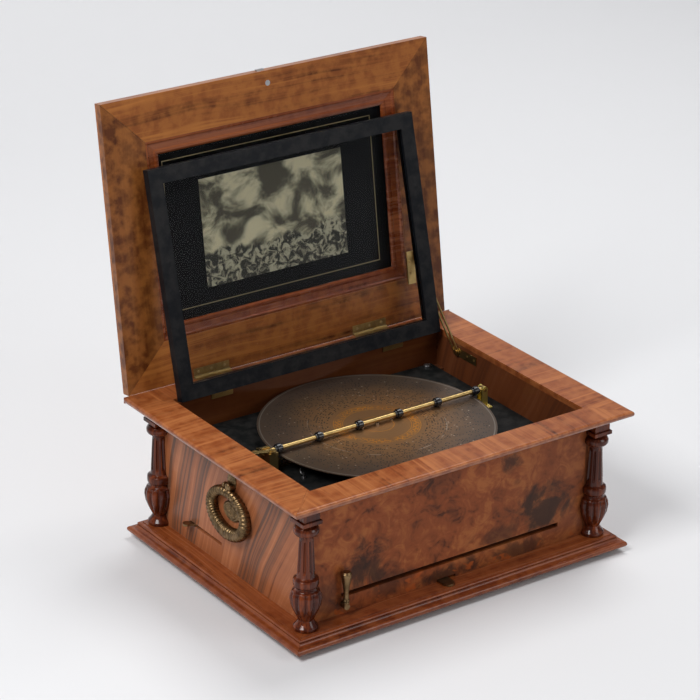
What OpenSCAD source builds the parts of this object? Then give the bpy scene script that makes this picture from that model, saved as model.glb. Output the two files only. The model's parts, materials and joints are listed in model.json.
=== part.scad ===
// Wind up disc music box with an open lid, a hinged glass frame and a disc movement.
// Millimetres. The origin is the centre of the case on the table, +X right, +Y back, +Z up.

/* [Case] */
// Width of the top rim
case_width = 570; // [540:1:690]
// Depth of the top rim
case_depth = 432; // [420:1:520]
// Height of the rim's top above the table
case_height = 220; // [214:1:266]
// Thickness of the top rim
rim_thickness = 9; // [7:0.5:12]
// Width of the rim at the left and right
rim_side = 54; // [46:1:60]
// Width of the rim at the front
rim_front = 48; // [44:1:54]
// Width of the rim at the back
rim_back = 43; // [40:1:46]
// Thickness of the left and right panels
side_wall = 11; // [9:0.5:14]
// Thickness of the front and back panels
end_wall = 10; // [8:0.5:12]

/* [Plinth] */
// Distance of the plinth's edge inside the rim's edge at the left and right
plinth_side_in = 2; // [0:0.5:4]
// Distance of the plinth's edge past the rim's edge at the front and back
plinth_end_out = 2; // [0:0.5:10]
// Height of the plinth moulding
plinth_height = 18; // [16:1:24]
// Height of the feet
foot_height = 8; // [5:0.5:12]
// Side of a square foot
foot_size = 58; // [40:1:70]

/* [Disc storage] */
// Height of the slot's lower edge above the table
slot_low = 51; // [50:0.5:56]
// Height of the slot
slot_high = 7; // [6:0.5:9]
// Thickness of the floor and roof boards
store_board = 5; // [4:0.5:7]

/* [Lid] */
// Distance of the lid's side inside the rim's edge
lid_side = 8.5; // [5:0.5:14]
// Gap between the lid and the case front edge when shut
lid_short = 14; // [8:1:20]
// Thickness of the lid rails
rail_thickness = 10; // [8.5:0.5:14]
// Width of the lid rails
rail_width = 65; // [55:1:75]
// Thickness of the board that backs the lid
lid_board_thickness = 4.5; // [3:0.5:6]
// Width of the moulding inside the lid rails
lid_mould = 21.5; // [15:0.5:26]
// Angle the lid opens to
lid_open = 98.5; // [92:0.5:105]

/* [Glass frame] */
// Width of a bar of the glazed frame
frame_bar = 22; // [16:1:26]
// Thickness of the glazed frame
frame_thickness = 13; // [10:0.5:14]
// Angle the glazed frame opens to
frame_open = 104.8; // [100:0.1:106]

/* [Movement] */
// Diameter of the tune disc
disc_diameter = 338; // [300:1:340]
// Depth of the disc below the rim's top
disc_drop = 32; // [30:0.5:34]
// Depth of the bedplate's top below the rim's top
bed_drop = 52; // [51:0.5:54]
// Diameter of the pressure rod
rod_diameter = 6.4; // [5:0.2:8]
// Diameter of a pressure roller
roller_diameter = 13.4; // [12:0.2:14]
// Distance between the rollers
roller_pitch = 67.8; // [55:0.2:68]
// Star wheels on each side
star_count = 24; // [12:1:24]

/* [Hidden] */
$fn = 48;
hx = case_width / 2;
hy = case_depth / 2;
rim_low = case_height - rim_thickness;
ix = hx - rim_side;
ox = ix + side_wall;
yf = -hy + rim_front;
yb = hy - rim_back;
yfo = yf - end_wall;
ybo = yb + end_wall;
wall_low = foot_height + plinth_height;
wall_high = rim_low - wall_low;
eps = 0.01;
fit = 0.05;
mitre_gap = 0.15;
// disc axis
dcy = 3;
disc_z = case_height - disc_drop;
bed_z = case_height - bed_drop;
bed_thickness = 8;
// plinth
plinth_width = case_width - 2 * plinth_side_in;
plinth_depth = case_depth + 2 * plinth_end_out;
plinth_reach = 60;
foot_inset = 16;
// turned columns
column_out = 4;
column_ring = 17;
column_height = wall_high;
// disc store
store_end = 45;
store_floor = slot_low - 2;
store_roof = slot_low + slot_high + 3;
// stay beside the right panel
stay_x = ix - 3;
stay_v = 97;
stay_n = 4;
stay_pin_y = hy - 94;
stay_pin_z = case_height - 21;
stay_thickness = 2;
stay_slot = 6.4;
// the wall pin, seen from the open lid's hinge
pin_y = cos(lid_open) * (stay_pin_y - hy) - sin(lid_open) * (stay_pin_z - case_height);
pin_z = sin(lid_open) * (stay_pin_y - hy) + cos(lid_open) * (stay_pin_z - case_height);
stay_reach = norm([pin_y + stay_v, pin_z + stay_n]);
// lid, worked out shut with its hinge at the origin
lid_gap = 0.4;
lid_width = case_width - 2 * lid_side;
lid_length = case_depth - lid_short;
hinge_x = 138;
hinge_length = 60;
hinge_leaf = 14;
hinge_knuckle = 3.2;
hinge_pin = 1.5;
leaf_thickness = 1.2;
lid_recess = rail_thickness - 3;
seat = 0.02;
glass_lid = 1.5;
print_thickness = 0.3;
// glazed frame, worked out shut with its hinge at the origin
pane_hinge_y = yb - 1.8;
pane_hinge_z = case_height - 4;
pane_knuckle = 1.8;
pane_drop = 2;
frame_x = ix - 6;
frame_length = yb - yf - 11;
pane_thickness = 2;
pane_groove = 3;
pane_hinge_x = 149;
pane_hinge_length = 36;
pane_leaf = 12;
// gear train below the bedplate
gear_module = 1;
barrel_y = dcy - 72;
barrel_x = 0;
wheel_z = bed_z - 48;
wheel_face = 6;
centre_teeth = 60;
great_teeth = 84;
pinion_teeth = 12;
worm_teeth = 36;
train_x = barrel_x - 48;
train_y = barrel_y;
worm_z = bed_z - 31;
worm_y = train_y - 23.6;
crank_z = bed_z - 24;
crank_y = barrel_y;
contrate_radius = 17;
contrate_teeth = 36;
plate_z = bed_z - 92;
plate_thickness = 4;
post_places = [[-86, -116], [-86, 46], [54, -116], [54, 46]];
arbor_radius = 2.5;
spindle_radius = 6;
// pressure rod
rod_radius = rod_diameter / 2;
rod_z = disc_z + 0.9 + roller_diameter / 2;
cheek_in = rod_radius + 0.2;
cheek_thickness = 2.6;
cheek_out = cheek_in + cheek_thickness;
rod_pin = 2;
rod_pivot_x = disc_diameter / 2 + 17;
rod_left = -disc_diameter / 2 - 20;
roller_width = 6;
roller_offset = 2.5;
// star wheels
star_z = disc_z - 10.5;
star_radius = 6.5;
star_pitch = 4.8;
star_start = 50;
star_pin = 1.2;
// side handles
handle_y = dcy;
handle_z = 160;
handle_out = 7;
ring_section = 5;
ring_drop = 40;
// left slot and levers
side_slot_y0 = 31;
side_slot_y1 = 112;
side_slot_z = 54.5;
side_slot_high = 5;
lever_x = ox - 72;
lever_y = 71.5;
lever_angle = 25.7;
start_x = -(ix - 47);
start_z = 41.8;
start_radius = 2;
tab_x = -15;
tab_wide = 18;
tab_travel = 12;

walnut = [0.55, 0.30, 0.16];
mahogany = [0.32, 0.12, 0.07];
ebony = [0.06, 0.06, 0.07];
brass = [0.72, 0.56, 0.28];
steel = [0.62, 0.62, 0.64];
iron = [0.09, 0.09, 0.10];

// ---- shared shapes ----

// A block given by its low and high corners.
module block(low, high) translate(low) cube(high - low);

// A cylinder along X, from x0 to x1.
module rod_x(x0, x1, r) translate([x0, 0, 0]) rotate([0, 90, 0]) cylinder(h = x1 - x0, r = r);

// A cylinder along Y, from y0 to y1.
module rod_y(y0, y1, r) translate([0, y0, 0]) rotate([-90, 0, 0]) cylinder(h = y1 - y0, r = r);

// A profile of inward distance and height, run along the front edge at y = -half_y.
module front_run(half_x, half_y)
    translate([0, -half_y, 0]) rotate([90, 0, 90])
        linear_extrude(height = 2 * half_x, center = true) children();

// The mitred front length of a frame, reach wide.
module mitred_front(half_x, half_y, reach, low, high)
    intersection() {
        front_run(half_x + 1, half_y) children();
        translate([0, 0, low]) linear_extrude(height = high - low)
            polygon([[-half_x - 1 + mitre_gap, -half_y - 1], [half_x + 1 - mitre_gap, -half_y - 1],
                [half_x - reach - mitre_gap, -half_y + reach],
                [-half_x + reach + mitre_gap, -half_y + reach]]);
    }

// Four mitred lengths of one profile.
module mitred_frame(half_x, half_y, reach, low, high)
    for (flip = [0, 1]) {
        mirror([0, flip, 0]) mitred_front(half_x, half_y, reach, low, high) children();
        mirror([flip, 0, 0]) rotate([0, 0, -90])
            mitred_front(half_y, half_x, reach, low, high) children();
    }

// A toothed wheel with slim straight teeth; one tooth points along +X.
module gear(teeth, face, bore = 0) {
    pitch = gear_module * teeth / 2;
    step = 360 / teeth;
    root = pitch - 1.15 * gear_module;
    tip = pitch + 0.85 * gear_module;
    difference() {
        linear_extrude(height = face) polygon([for (i = [0:teeth - 1])
            for (p = [[root, -0.26], [tip, -0.12], [tip, 0.12], [root, 0.26]])
                [p[0] * cos((i + p[1]) * step), p[0] * sin((i + p[1]) * step)]]);
        if (bore > 0) translate([0, 0, -1]) cylinder(h = face + 2, r = bore);
    }
}

// One leaf of a butt hinge with its axis along X at the origin; odd says which knuckles it owns.
module butt_leaf(length, leaf, low, knuckle, pin, odd) {
    part = length / 5;
    play = 0.15;
    difference() {
        union() {
            block([-length / 2, -leaf, low], [length / 2, 0, low + leaf_thickness]);
            for (i = [odd:2:4])
                rod_x(-length / 2 + i * part + play, -length / 2 + (i + 1) * part - play, knuckle);
            if (odd == 0) rod_x(-length / 2 + eps, length / 2 - eps, pin);
        }
        for (i = [1 - odd:2:4])
            difference() {
                rod_x(-length / 2 + i * part - play, -length / 2 + (i + 1) * part + play,
                    knuckle + 0.4);
                if (odd == 0) rod_x(-length, length, pin);
            }
        if (odd == 1) rod_x(-length, length, pin + fit);
    }
}

// Moves what was drawn with the lid shut and its hinge at the origin to the open lid.
module on_lid() translate([0, hy, case_height]) rotate([-lid_open, 0, 0]) children();

// Moves what was drawn with the glazed frame shut and its hinge at the origin to the open frame.
module on_frame() translate([0, pane_hinge_y, pane_hinge_z]) rotate([-frame_open, 0, 0]) children();

// Repeats a shape at the front right corner to all four corners of the case.
module four_corners(x, y_front, y_back)
    for (s = [0, 1]) mirror([s, 0, 0]) {
        translate([x, y_front, 0]) children();
        translate([x, y_back, 0]) mirror([0, 1, 0]) children();
    }

// Repeats a shape on the right of the disc axis turned half round to its left.
module both_sides() for (a = [0, 180]) translate([0, dcy, 0]) rotate([0, 0, a]) children();

// ---- case ----

module feet() color(mahogany)
    four_corners(plinth_width / 2 - foot_inset - foot_size, -plinth_depth / 2 + foot_inset,
        plinth_depth / 2 - foot_inset)
        cube([foot_size, foot_size, foot_height]);

module plinth() color(walnut) {
    reach = plinth_reach;
    nose = plinth_height / 4;
    bead = plinth_height / 9;
    translate([0, 0, foot_height])
        mitred_frame(plinth_width / 2, plinth_depth / 2, reach, -1, plinth_height + 1) {
            union() {
                translate([nose, nose]) circle(nose);
                translate([nose, 0]) square([reach - nose, 2 * nose]);
                difference() {
                    translate([7, 2 * nose - eps]) square([reach - 7, 4 + eps]);
                    translate([7, 2 * nose + 4]) circle(4);
                }
                translate([13, 2 * nose + 4 + bead]) circle(bead);
                translate([13, 2 * nose + 4 - eps]) square([reach - 13, 2 * bead]);
                translate([17, 2 * nose + 4]) square([reach - 17, plinth_height - 2 * nose - 4]);
            }
        }
}

module base_board() color(walnut)
    block([-plinth_width / 2 + plinth_reach, -plinth_depth / 2 + plinth_reach, foot_height + 4],
        [plinth_width / 2 - plinth_reach, plinth_depth / 2 - plinth_reach, foot_height + 12]);

module front_panel() color(walnut)
    difference() {
        block([-ix, yfo, wall_low], [ix, yf, rim_low]);
        block([-ix + store_end, yfo - 1, slot_low], [ix - store_end, yf + 1, slot_low + slot_high]);
        translate([start_x, 0, start_z]) rod_y(yfo - 1, yf + 1, start_radius + fit);
        block([tab_x - tab_wide / 2 - 1, yfo - 1, wall_low - 1],
            [tab_x + tab_wide / 2 + tab_travel + 1, yf + 1, wall_low + 4]);
    }

module back_panel() color(walnut) block([-ix, yb, wall_low], [ix, ybo, rim_low]);

// A side panel drawn on the right.
module side_panel() block([ix, yfo, wall_low], [ox, ybo, rim_low]);

module left_panel() color(walnut)
    difference() {
        mirror([1, 0, 0]) side_panel();
        block([-ox - 1, side_slot_y0, side_slot_z],
            [-ix + 1, side_slot_y1, side_slot_z + side_slot_high]);
    }

module right_panel() color(walnut)
    difference() {
        side_panel();
        translate([0, crank_y, crank_z]) rod_x(ix - 1, ox + 1, 8);
    }

// One turned column round the front right corner of the panels.
module column() {
    k = column_height / 185;
    difference() {
        translate([column_out, -column_out, 0]) union() {
            rotate_extrude() polygon([[0, 0], [16.4, 0], [column_ring, 2], [column_ring, 5],
                [15.6, 6.6], [13.2, 9.6], [10.8, 14.2 * k], [12.4, 18 * k], [16.6, 26 * k],
                [20.4, 36 * k], [22, 46 * k], [21.4, 52 * k], [19.6, 56 * k], [18.8, 58 * k],
                [14.3, 63.6 * k], [17.3, 67 * k], [17.7, 71 * k], [17, 76 * k],
                [12.6, 79 * k], [12.2, 83 * k], [9.4, 137 * k], [10.6, 139 * k],
                [9.6, 141 * k], [15.8, 142 * k], [17.3, 145 * k], [17.3, 150 * k],
                [15.6, 153 * k], [11, 156 * k], [14, 158 * k], [0, 158 * k]]);
            block([-15.5, -15.5, 158 * k - eps], [15.5, 15.5, 164 * k]);
            block([-13, -13, 164 * k - eps], [13, 13, column_height]);
        }
        block([-60, 0, -1], [0, 60, column_height + 1]);
    }
}

module columns() color(mahogany)
    translate([0, 0, wall_low]) four_corners(ox, yfo, ybo) column();

// A length of the rim: a bar with a rounded outer edge, cut to its mitres.
module rim_length(corners, low, high, nose_from, along_x)
    intersection() {
        translate([0, 0, rim_low - 1]) linear_extrude(height = rim_thickness + 2) polygon(corners);
        union() {
            block(low, high);
            translate([nose_from[0], nose_from[1], rim_low + rim_thickness / 2])
                if (along_x) rod_x(-hx, hx, rim_thickness / 2);
                else rod_y(-hy, hy, rim_thickness / 2);
        }
    }

module top_rim() color(walnut) {
    nose = rim_thickness / 2;
    g = mitre_gap;
    difference() {
        union() {
            rim_length([[-hx + g, -hy], [hx - g, -hy], [ix - g, yf], [-ix + g, yf]],
                [-hx, -hy + nose, rim_low], [hx, yf, case_height], [0, -hy + nose], true);
            rim_length([[-hx + g, hy], [hx - g, hy], [ix - g, yb], [-ix + g, yb]],
                [-hx, yb, rim_low], [hx, hy, case_height], [0, hy - nose], true);
            for (s = [0, 1]) mirror([s, 0, 0])
                rim_length([[hx, -hy + g], [hx, hy - g], [ix, yb - g], [ix, yf + g]],
                    [ix, -hy, rim_low], [hx - nose, hy, case_height], [hx - nose, 0], false);
        }
        for (s = [-1, 1]) translate([s * hinge_x, hy, case_height]) {
            rod_x(-hinge_length / 2 - 0.3, hinge_length / 2 + 0.3, hinge_knuckle + 0.3);
            block([-hinge_length / 2, -hinge_leaf, -leaf_thickness], [hinge_length / 2, 1, 1]);
        }
    }
}

module bearers() color(walnut) {
    low = bed_z - bed_thickness - 22;
    block([-ix, yf, low], [ix, yf + 18, bed_z - bed_thickness]);
    block([-ix, yb - 18, low], [ix, yb, bed_z - bed_thickness]);
}

// A board of the disc store, cut away where the shut stay hangs.
module store_shelf(low)
    difference() {
        block([-ix, yf, low], [ix, yb, low + store_board]);
        block([stay_x - 3.5, stay_pin_y + 4, low - 1],
            [ix + 1, stay_pin_y + 36, low + store_board + 1]);
    }

module storage_boards() color(walnut) {
    store_shelf(store_floor - store_board);
    store_shelf(store_roof);
}

// Green felt round the inside of the front slot.
module slot_felt() color([0.10, 0.20, 0.14]) {
    end = ix - store_end;
    block([-end, yf, store_floor], [end, yf + 26, store_floor + 1.6]);
    block([-end, yf, store_roof - 1.6], [end, yf + 26, store_roof]);
}

// ---- movement on its bedplate ----

module bedplate() color(iron)
    difference() {
        block([-ix + 17, yf + 8, bed_z - bed_thickness], [ix - 17, yb - 8, bed_z]);
        translate([0, dcy, bed_z - bed_thickness - 1])
            cylinder(h = bed_thickness + 2, r = spindle_radius + fit);
        for (p = [[barrel_x, barrel_y], [train_x, train_y]])
            translate([p[0], p[1], bed_z - bed_thickness - 1]) cylinder(h = 6, r = arbor_radius + fit);
    }

module movement_screws() color(steel)
    for (x = [-ix + 29, ix - 29], y = [yf + 15, yb - 15])
        translate([x, y, bed_z]) {
            cylinder(h = 2.4, r = 5.5);
            translate([0, 0, 2.2]) difference() {
                cylinder(h = 1.2, r = 4.4);
                translate([-6, -0.6, 0.5]) cube([12, 1.2, 2]);
            }
        }

module motor_frame() color(brass) {
    for (p = post_places) translate([p[0], p[1], plate_z + plate_thickness])
        cylinder(h = bed_z - bed_thickness - plate_z - plate_thickness, r = 4);
    difference() {
        block([-98, -122, plate_z], [66, 58, plate_z + plate_thickness]);
        for (p = [[barrel_x, barrel_y, arbor_radius], [train_x, train_y, arbor_radius],
            [0, dcy, spindle_radius]])
            translate([p[0], p[1], plate_z + 1]) cylinder(h = plate_thickness, r = p[2] + fit);
    }
}

module governor_cocks() color(brass)
    for (x = [-116, -31])
        difference() {
            block([x, worm_y - 8, worm_z - 9], [x + 4, worm_y + 8, bed_z - bed_thickness]);
            translate([0, worm_y, worm_z]) rod_x(x - 1, x + 5, 1.5 + fit);
        }

module comb_blocks() color(brass)
    both_sides() block([star_start - 4, -58, bed_z],
        [star_start + star_count * star_pitch, -24, bed_z + 4]);

module combs() color(steel)
    both_sides() difference() {
        block([star_start - 2.4, -54, bed_z + 4],
            [star_start + star_count * star_pitch - 2.4, -8, bed_z + 6.4]);
        for (i = [1:star_count - 1])
            block([star_start - 2.9 + i * star_pitch, -32, bed_z + 3],
                [star_start - 1.9 + i * star_pitch, -7, bed_z + 8]);
    }

module star_gantry() color(brass)
    both_sides() {
        end = star_start + star_count * star_pitch;
        difference() {
            union() {
                block([star_start - 6, -4, bed_z], [end + 3, 4, bed_z + 1.6]);
                for (x = [star_start - 6, end])
                    block([x, -4, bed_z], [x + 3, 4, star_z + 3.4]);
            }
            translate([0, 0, star_z]) rod_x(star_start - 8, end + 5, star_pin + seat);
        }
        translate([0, 0, star_z]) rod_x(star_start - 6, end + 3, star_pin);
    }

module star_wheels() color(steel)
    both_sides() for (i = [0:star_count - 1])
        translate([star_start + i * star_pitch, 0, star_z]) rotate([0, 90, 0]) difference() {
            linear_extrude(height = 1.6) polygon([for (k = [0:15])
                (k % 2 == 0 ? star_radius : star_radius - 2.6) * [cos(k * 22.5), sin(k * 22.5)]]);
            translate([0, 0, -1]) cylinder(h = 4, r = star_pin + fit);
        }

module turntable() color(steel)
    translate([0, dcy, 0]) {
        translate([0, 0, plate_z + 1.3]) cylinder(h = disc_z - 4 - plate_z - 1.3, r = spindle_radius);
        translate([0, 0, disc_z - 4.6]) cylinder(h = 4, r = 34);
        translate([0, 0, disc_z - 1]) cylinder(h = 4.5, r = 3);
        for (s = [-1, 1]) translate([s * 25, 0, disc_z - 1]) cylinder(h = 3.4, r = 1.6);
        translate([0, 0, wheel_z]) rotate(3) gear(centre_teeth, wheel_face);
    }

module disc() color([0.30, 0.24, 0.18])
    translate([0, dcy, disc_z - 0.5]) difference() {
        cylinder(h = 1, r = disc_diameter / 2, $fn = 96);
        translate([0, 0, -1]) cylinder(h = 3, r = 3 + fit);
        for (s = [-1, 1]) translate([s * 25, 0, -1]) cylinder(h = 3, r = 1.6 + fit);
    }

module spring_barrel() color(brass)
    translate([barrel_x, barrel_y, 0]) {
        difference() {
            translate([0, 0, bed_z - 84]) cylinder(h = 36.4, r = 38);
            translate([0, 0, bed_z - 82]) cylinder(h = 32, r = 36);
            translate([0, 0, bed_z - 86]) cylinder(h = 50, r = arbor_radius + fit);
        }
        translate([0, 0, wheel_z]) gear(great_teeth, wheel_face, arbor_radius + fit);
    }

// A flat spiral strip wound inside the barrel.
module mainspring() color(steel)
    translate([barrel_x, barrel_y, bed_z - 82]) linear_extrude(height = 30) polygon(concat(
        [for (a = [0:15:1980]) (12 + a / 90) * [cos(a), sin(a)]],
        [for (a = [1980:-15:0]) (12.6 + a / 90) * [cos(a), sin(a)]]));

module barrel_arbor() color(steel)
    translate([barrel_x, barrel_y, 0]) {
        translate([0, 0, plate_z + 1.3]) cylinder(h = bed_z - 3.6 - plate_z - 1.3, r = arbor_radius);
        translate([0, 0, crank_z - 14]) cylinder(h = 4, r = contrate_radius + 3);
        for (i = [0:contrate_teeth - 1]) rotate([0, 0, (i + 0.5) * 360 / contrate_teeth])
            block([contrate_radius - 3, -0.6, crank_z - 10 - eps],
                [contrate_radius + 3, 0.6, crank_z - 7.2]);
    }

module train_arbor() color(steel)
    translate([train_x, train_y, 0]) {
        translate([0, 0, plate_z + 1.3]) cylinder(h = bed_z - 3.6 - plate_z - 1.3, r = arbor_radius);
        translate([0, 0, wheel_z - 2]) rotate([0, 0, 15]) gear(pinion_teeth, wheel_face + 4);
        translate([0, 0, worm_z - 3]) gear(worm_teeth, 6);
    }

module governor_worm() color(steel)
    translate([0, worm_y, worm_z]) {
        rod_x(-117, -26, 1.5);
        translate([train_x - 9, 0, 0]) rotate([0, 90, 0])
            linear_extrude(height = 18, twist = 450, slices = 24)
                union() {
                    circle(3.2, $fn = 16);
                    for (a = [0, 90, 180, 270]) rotate(a) translate([2, -0.7]) square([2.4, 1.4]);
                }
    }

module governor_fan() color(brass)
    translate([-103, worm_y, worm_z]) difference() {
        union() {
            rod_x(0, 9, 3);
            block([4, -15, -3.5], [5, 15, 3.5]);
        }
        rod_x(-1, 10, 1.5);
    }

module crank_bush() color(brass)
    translate([0, crank_y, crank_z]) difference() {
        union() {
            rod_x(ix - 3, ox + 0.5, 8);
            rod_x(ox, ox + 2.5, 13);
        }
        rod_x(ix - 5, ox + 5, 4 + fit);
    }

module crank_shaft() color(steel)
    translate([0, crank_y, crank_z]) {
        rod_x(contrate_radius - 3, ox + 20, 4);
        translate([ox + 14, 0, 0]) {
            rod_x(0, 6, 9);
            translate([0, 0, -50]) rod_x(0, 6, 7);
            block([0, -5, -50], [6, 5, 0]);
        }
        translate([contrate_radius - 3, 0, 0]) rotate([0, 90, 0])
            linear_extrude(height = 6) polygon([for (i = [0:11])
                for (p = [[4.6, -0.3], [6.4, -0.12], [6.4, 0.12], [4.6, 0.3]])
                    p[0] * [cos((i + p[1]) * 30), sin((i + p[1]) * 30)]]);
    }

module crank_grip() color(mahogany)
    translate([ox + 20, crank_y, crank_z - 50]) rotate([0, 90, 0])
        rotate_extrude() polygon([[0, 0], [5, 0], [5.5, 3], [7.5, 12], [8.5, 24], [7.5, 31],
            [4, 35], [0, 36]]);

module wire_hook() color(steel)
    translate([-158, -46, bed_z]) {
        cylinder(h = 1.5, r = 3.4);
        cylinder(h = 9, r = 1);
        translate([0, 4, 9]) rotate([0, -90, 0]) rotate([0, 0, 270])
            rotate_extrude(angle = -220) translate([4, 0]) circle(1, $fn = 20);
    }

// ---- pressure rod ----

module bar_post() color(brass)
    translate([rod_pivot_x, dcy, 0]) difference() {
        union() {
            block([-9, -13, bed_z], [9, 9, bed_z + 2.4]);
            for (y = [-cheek_out, cheek_in])
                block([-5, y, bed_z], [5, y + cheek_thickness, rod_z]);
            translate([0, 0, rod_z]) for (y = [-cheek_out, cheek_in]) rod_y(y, y + cheek_thickness, 5);
            block([-5, -cheek_out, bed_z], [5, cheek_out, bed_z + 10]);
        }
        translate([0, 0, rod_z]) rod_y(-cheek_out - 2, cheek_out + 2, rod_pin + seat);
    }

module pressure_rod() color(brass)
    translate([0, dcy, rod_z]) {
        rod_x(rod_left, rod_pivot_x - 4, rod_radius);
        translate([rod_pivot_x, 0, 0]) {
            rod_y(-cheek_in + 0.3, cheek_in - 0.3, 4.8);
            rod_y(-cheek_out - 1, cheek_out + 1, rod_pin);
        }
    }

// Pressure rollers from one place in the row to another.
module roller_set(first, last) color(ebony)
    for (i = [first:last]) translate([roller_offset + (i - 2.5) * roller_pitch, dcy, rod_z])
        difference() {
            union() {
                rod_x(-roller_width / 2, roller_width / 2, roller_diameter / 2);
                rod_x(-roller_width / 2 - 3, roller_width / 2 + 3, roller_diameter / 2 - 2);
            }
            rod_x(-20, 20, rod_radius + fit);
        }

module rollers_left() roller_set(0, 2);

module rollers_right() roller_set(3, 5);

module latch_post() color(brass)
    translate([rod_left + 4, dcy, 0]) difference() {
        block([-7, -17, bed_z], [7, 9, rod_z + rod_radius + 0.4]);
        block([-8, -rod_radius - 0.5, rod_z - rod_radius - 0.4], [8, rod_radius + 0.5, rod_z + 20]);
        translate([0, -11, rod_z - 8]) cylinder(h = 20, r = 2 + fit);
    }

module rod_latch() color(brass)
    translate([rod_left + 4, dcy - 11, rod_z + rod_radius + 0.7]) {
        translate([0, 0, -6]) cylinder(h = 8.4, r = 2);
        cylinder(h = 2, r = 6);
        cylinder(h = 3.4, r = 3.4);
        rotate([0, 0, 155]) block([0, -4, 0], [22, 4, 1.2]);
        rotate([0, 0, 155]) translate([22, 0, 0]) cylinder(h = 1.2, r = 6);
    }

// ---- lid ----

module lid_rails() color(walnut)
    on_lid() difference() {
        translate([0, -lid_length / 2, 0])
            mitred_frame(lid_width / 2, lid_length / 2, rail_width, 0, 60)
                translate([0, lid_gap]) square([rail_width, rail_thickness - seat]);
        for (s = [-1, 1]) translate([s * hinge_x, 0, 0]) {
            rod_x(-hinge_length / 2 - 0.3, hinge_length / 2 + 0.3, hinge_knuckle + 0.3);
            block([-hinge_length / 2, -hinge_leaf, 0],
                [hinge_length / 2, 1, lid_gap + leaf_thickness]);
        }
    }

module lid_board() color(walnut)
    on_lid() block([-lid_width / 2, -lid_length, lid_gap + rail_thickness],
        [lid_width / 2, 0, lid_gap + rail_thickness + lid_board_thickness]);

module lid_moulding() color(mahogany) {
    w = lid_mould;
    rebate = 3;
    back = lid_gap + rail_thickness - seat;
    on_lid() translate([0, -lid_length / 2, 0])
        mitred_frame(lid_width / 2 - rail_width, lid_length / 2 - rail_width, w, 0, 60)
            polygon([[0, back], [0, lid_gap + 0.6], [3, lid_gap + 0.6], [5, lid_gap + 2.8],
                [14, lid_gap + 4.2], [16, lid_gap + 3.2], [19, lid_gap + 3.4], [w, lid_gap + 5],
                [w, lid_gap + lid_recess], [w - rebate, lid_gap + lid_recess], [w - rebate, back]]);
}

// A sheet in the lid panel, inset from the moulding's rebate and between two depths.
module lid_sheet(inset, low, high) {
    x = lid_width / 2 - rail_width - lid_mould + 3 - inset;
    y = lid_length / 2 - rail_width - lid_mould + 3 - inset;
    on_lid() translate([0, -lid_length / 2, 0]) block([-x, -y, low], [x, y, high]);
}

module lid_glass() color([0.8, 0.9, 0.9, 0.3])
    lid_sheet(seat, lid_gap + lid_recess + seat, lid_gap + lid_recess + glass_lid);

module lid_print() color([0.72, 0.70, 0.60])
    on_lid() translate([-5.5, 6 - lid_length / 2, lid_gap + lid_recess + glass_lid + seat])
        block([-121.5, -79, 0], [121.5, 79, print_thickness - 2 * seat]);

module lid_mat() color(ebony)
    lid_sheet(seat, lid_gap + lid_recess + glass_lid + print_thickness,
        lid_gap + rail_thickness - seat);

module lid_hinge_leaves() color(brass)
    on_lid() for (s = [-1, 1]) translate([s * hinge_x, 0, 0])
        butt_leaf(hinge_length, hinge_leaf, lid_gap, hinge_knuckle, hinge_pin, 1);

module case_hinge_leaves() color(brass)
    translate([0, hy, case_height]) for (s = [-1, 1]) translate([s * hinge_x, 0, 0])
        butt_leaf(hinge_length, hinge_leaf, -leaf_thickness, hinge_knuckle, hinge_pin, 0);

module lid_catch() color(steel)
    on_lid() {
        translate([-4, -lid_length + 18, 0.1]) cylinder(h = lid_gap - 0.1, r = 4);
        block([-18, -lid_length - 2.5, lid_gap + 4], [-6, -lid_length, lid_gap + 9]);
    }

module stay_bracket() color(brass)
    on_lid() {
        block([stay_x - 15, -stay_v - 8, -1.2], [stay_x - 1.3, -stay_v + 42, lid_gap]);
        block([stay_x - 2.7, -stay_v - 6, -stay_n - 4], [stay_x - 1.3, -stay_v + 6, 0]);
        translate([0, -stay_v, -stay_n]) {
            rod_x(stay_x - 2, stay_x + 1.5, 2);
            rod_x(stay_x + 1.2, stay_x + 2.2, 3.2);
        }
    }

module stay_arm() color(brass)
    on_lid() translate([stay_x, -stay_v, -stay_n])
        rotate([atan2(pin_z + stay_n, pin_y + stay_v), 0, 0]) difference() {
            union() {
                rod_x(-stay_thickness / 2, stay_thickness / 2, 3.8);
                block([-stay_thickness / 2, 0, -3.8], [stay_thickness / 2, 12, 3.8]);
                block([-stay_thickness / 2, 10, -5.5], [stay_thickness / 2, stay_reach + 1, 5.5]);
                translate([0, stay_reach + 1, 0]) rod_x(-stay_thickness / 2, stay_thickness / 2, 5.5);
            }
            rod_x(-5, 5, 2 + fit);
            translate([0, 17, 0]) rod_x(-5, 5, stay_slot / 2);
            translate([0, stay_reach, 0]) rod_x(-5, 5, stay_slot / 2);
            block([-5, 17, -stay_slot / 2], [5, stay_reach, stay_slot / 2]);
        }

module stay_pin() color(brass)
    translate([0, stay_pin_y, stay_pin_z]) {
        block([ix - 1.4, -46, -6.5], [ix, 8, 6.5]);
        rod_x(stay_x - 1.9, ix - 1, 2.5);
        rod_x(stay_x - 2.7, stay_x - 1.4, 4);
    }

// ---- glazed frame ----

module glass_frame() color(ebony)
    on_frame() difference() {
        block([-frame_x, -frame_length, -pane_drop - frame_thickness], [frame_x, 0, -pane_drop]);
        block([-frame_x + frame_bar, -frame_length + frame_bar, -pane_drop - frame_thickness - 1],
            [frame_x - frame_bar, -frame_bar, 0]);
        block([-frame_x + frame_bar - pane_groove, -frame_length + frame_bar - pane_groove,
            -pane_drop - 7], [frame_x - frame_bar + pane_groove, -frame_bar + pane_groove,
            -pane_drop - 7 + pane_thickness]);
        for (s = [-1, 1]) translate([s * pane_hinge_x, 0, 0]) {
            rod_x(-pane_hinge_length / 2 - 0.3, pane_hinge_length / 2 + 0.3, pane_knuckle + 0.5);
        }
    }

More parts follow.
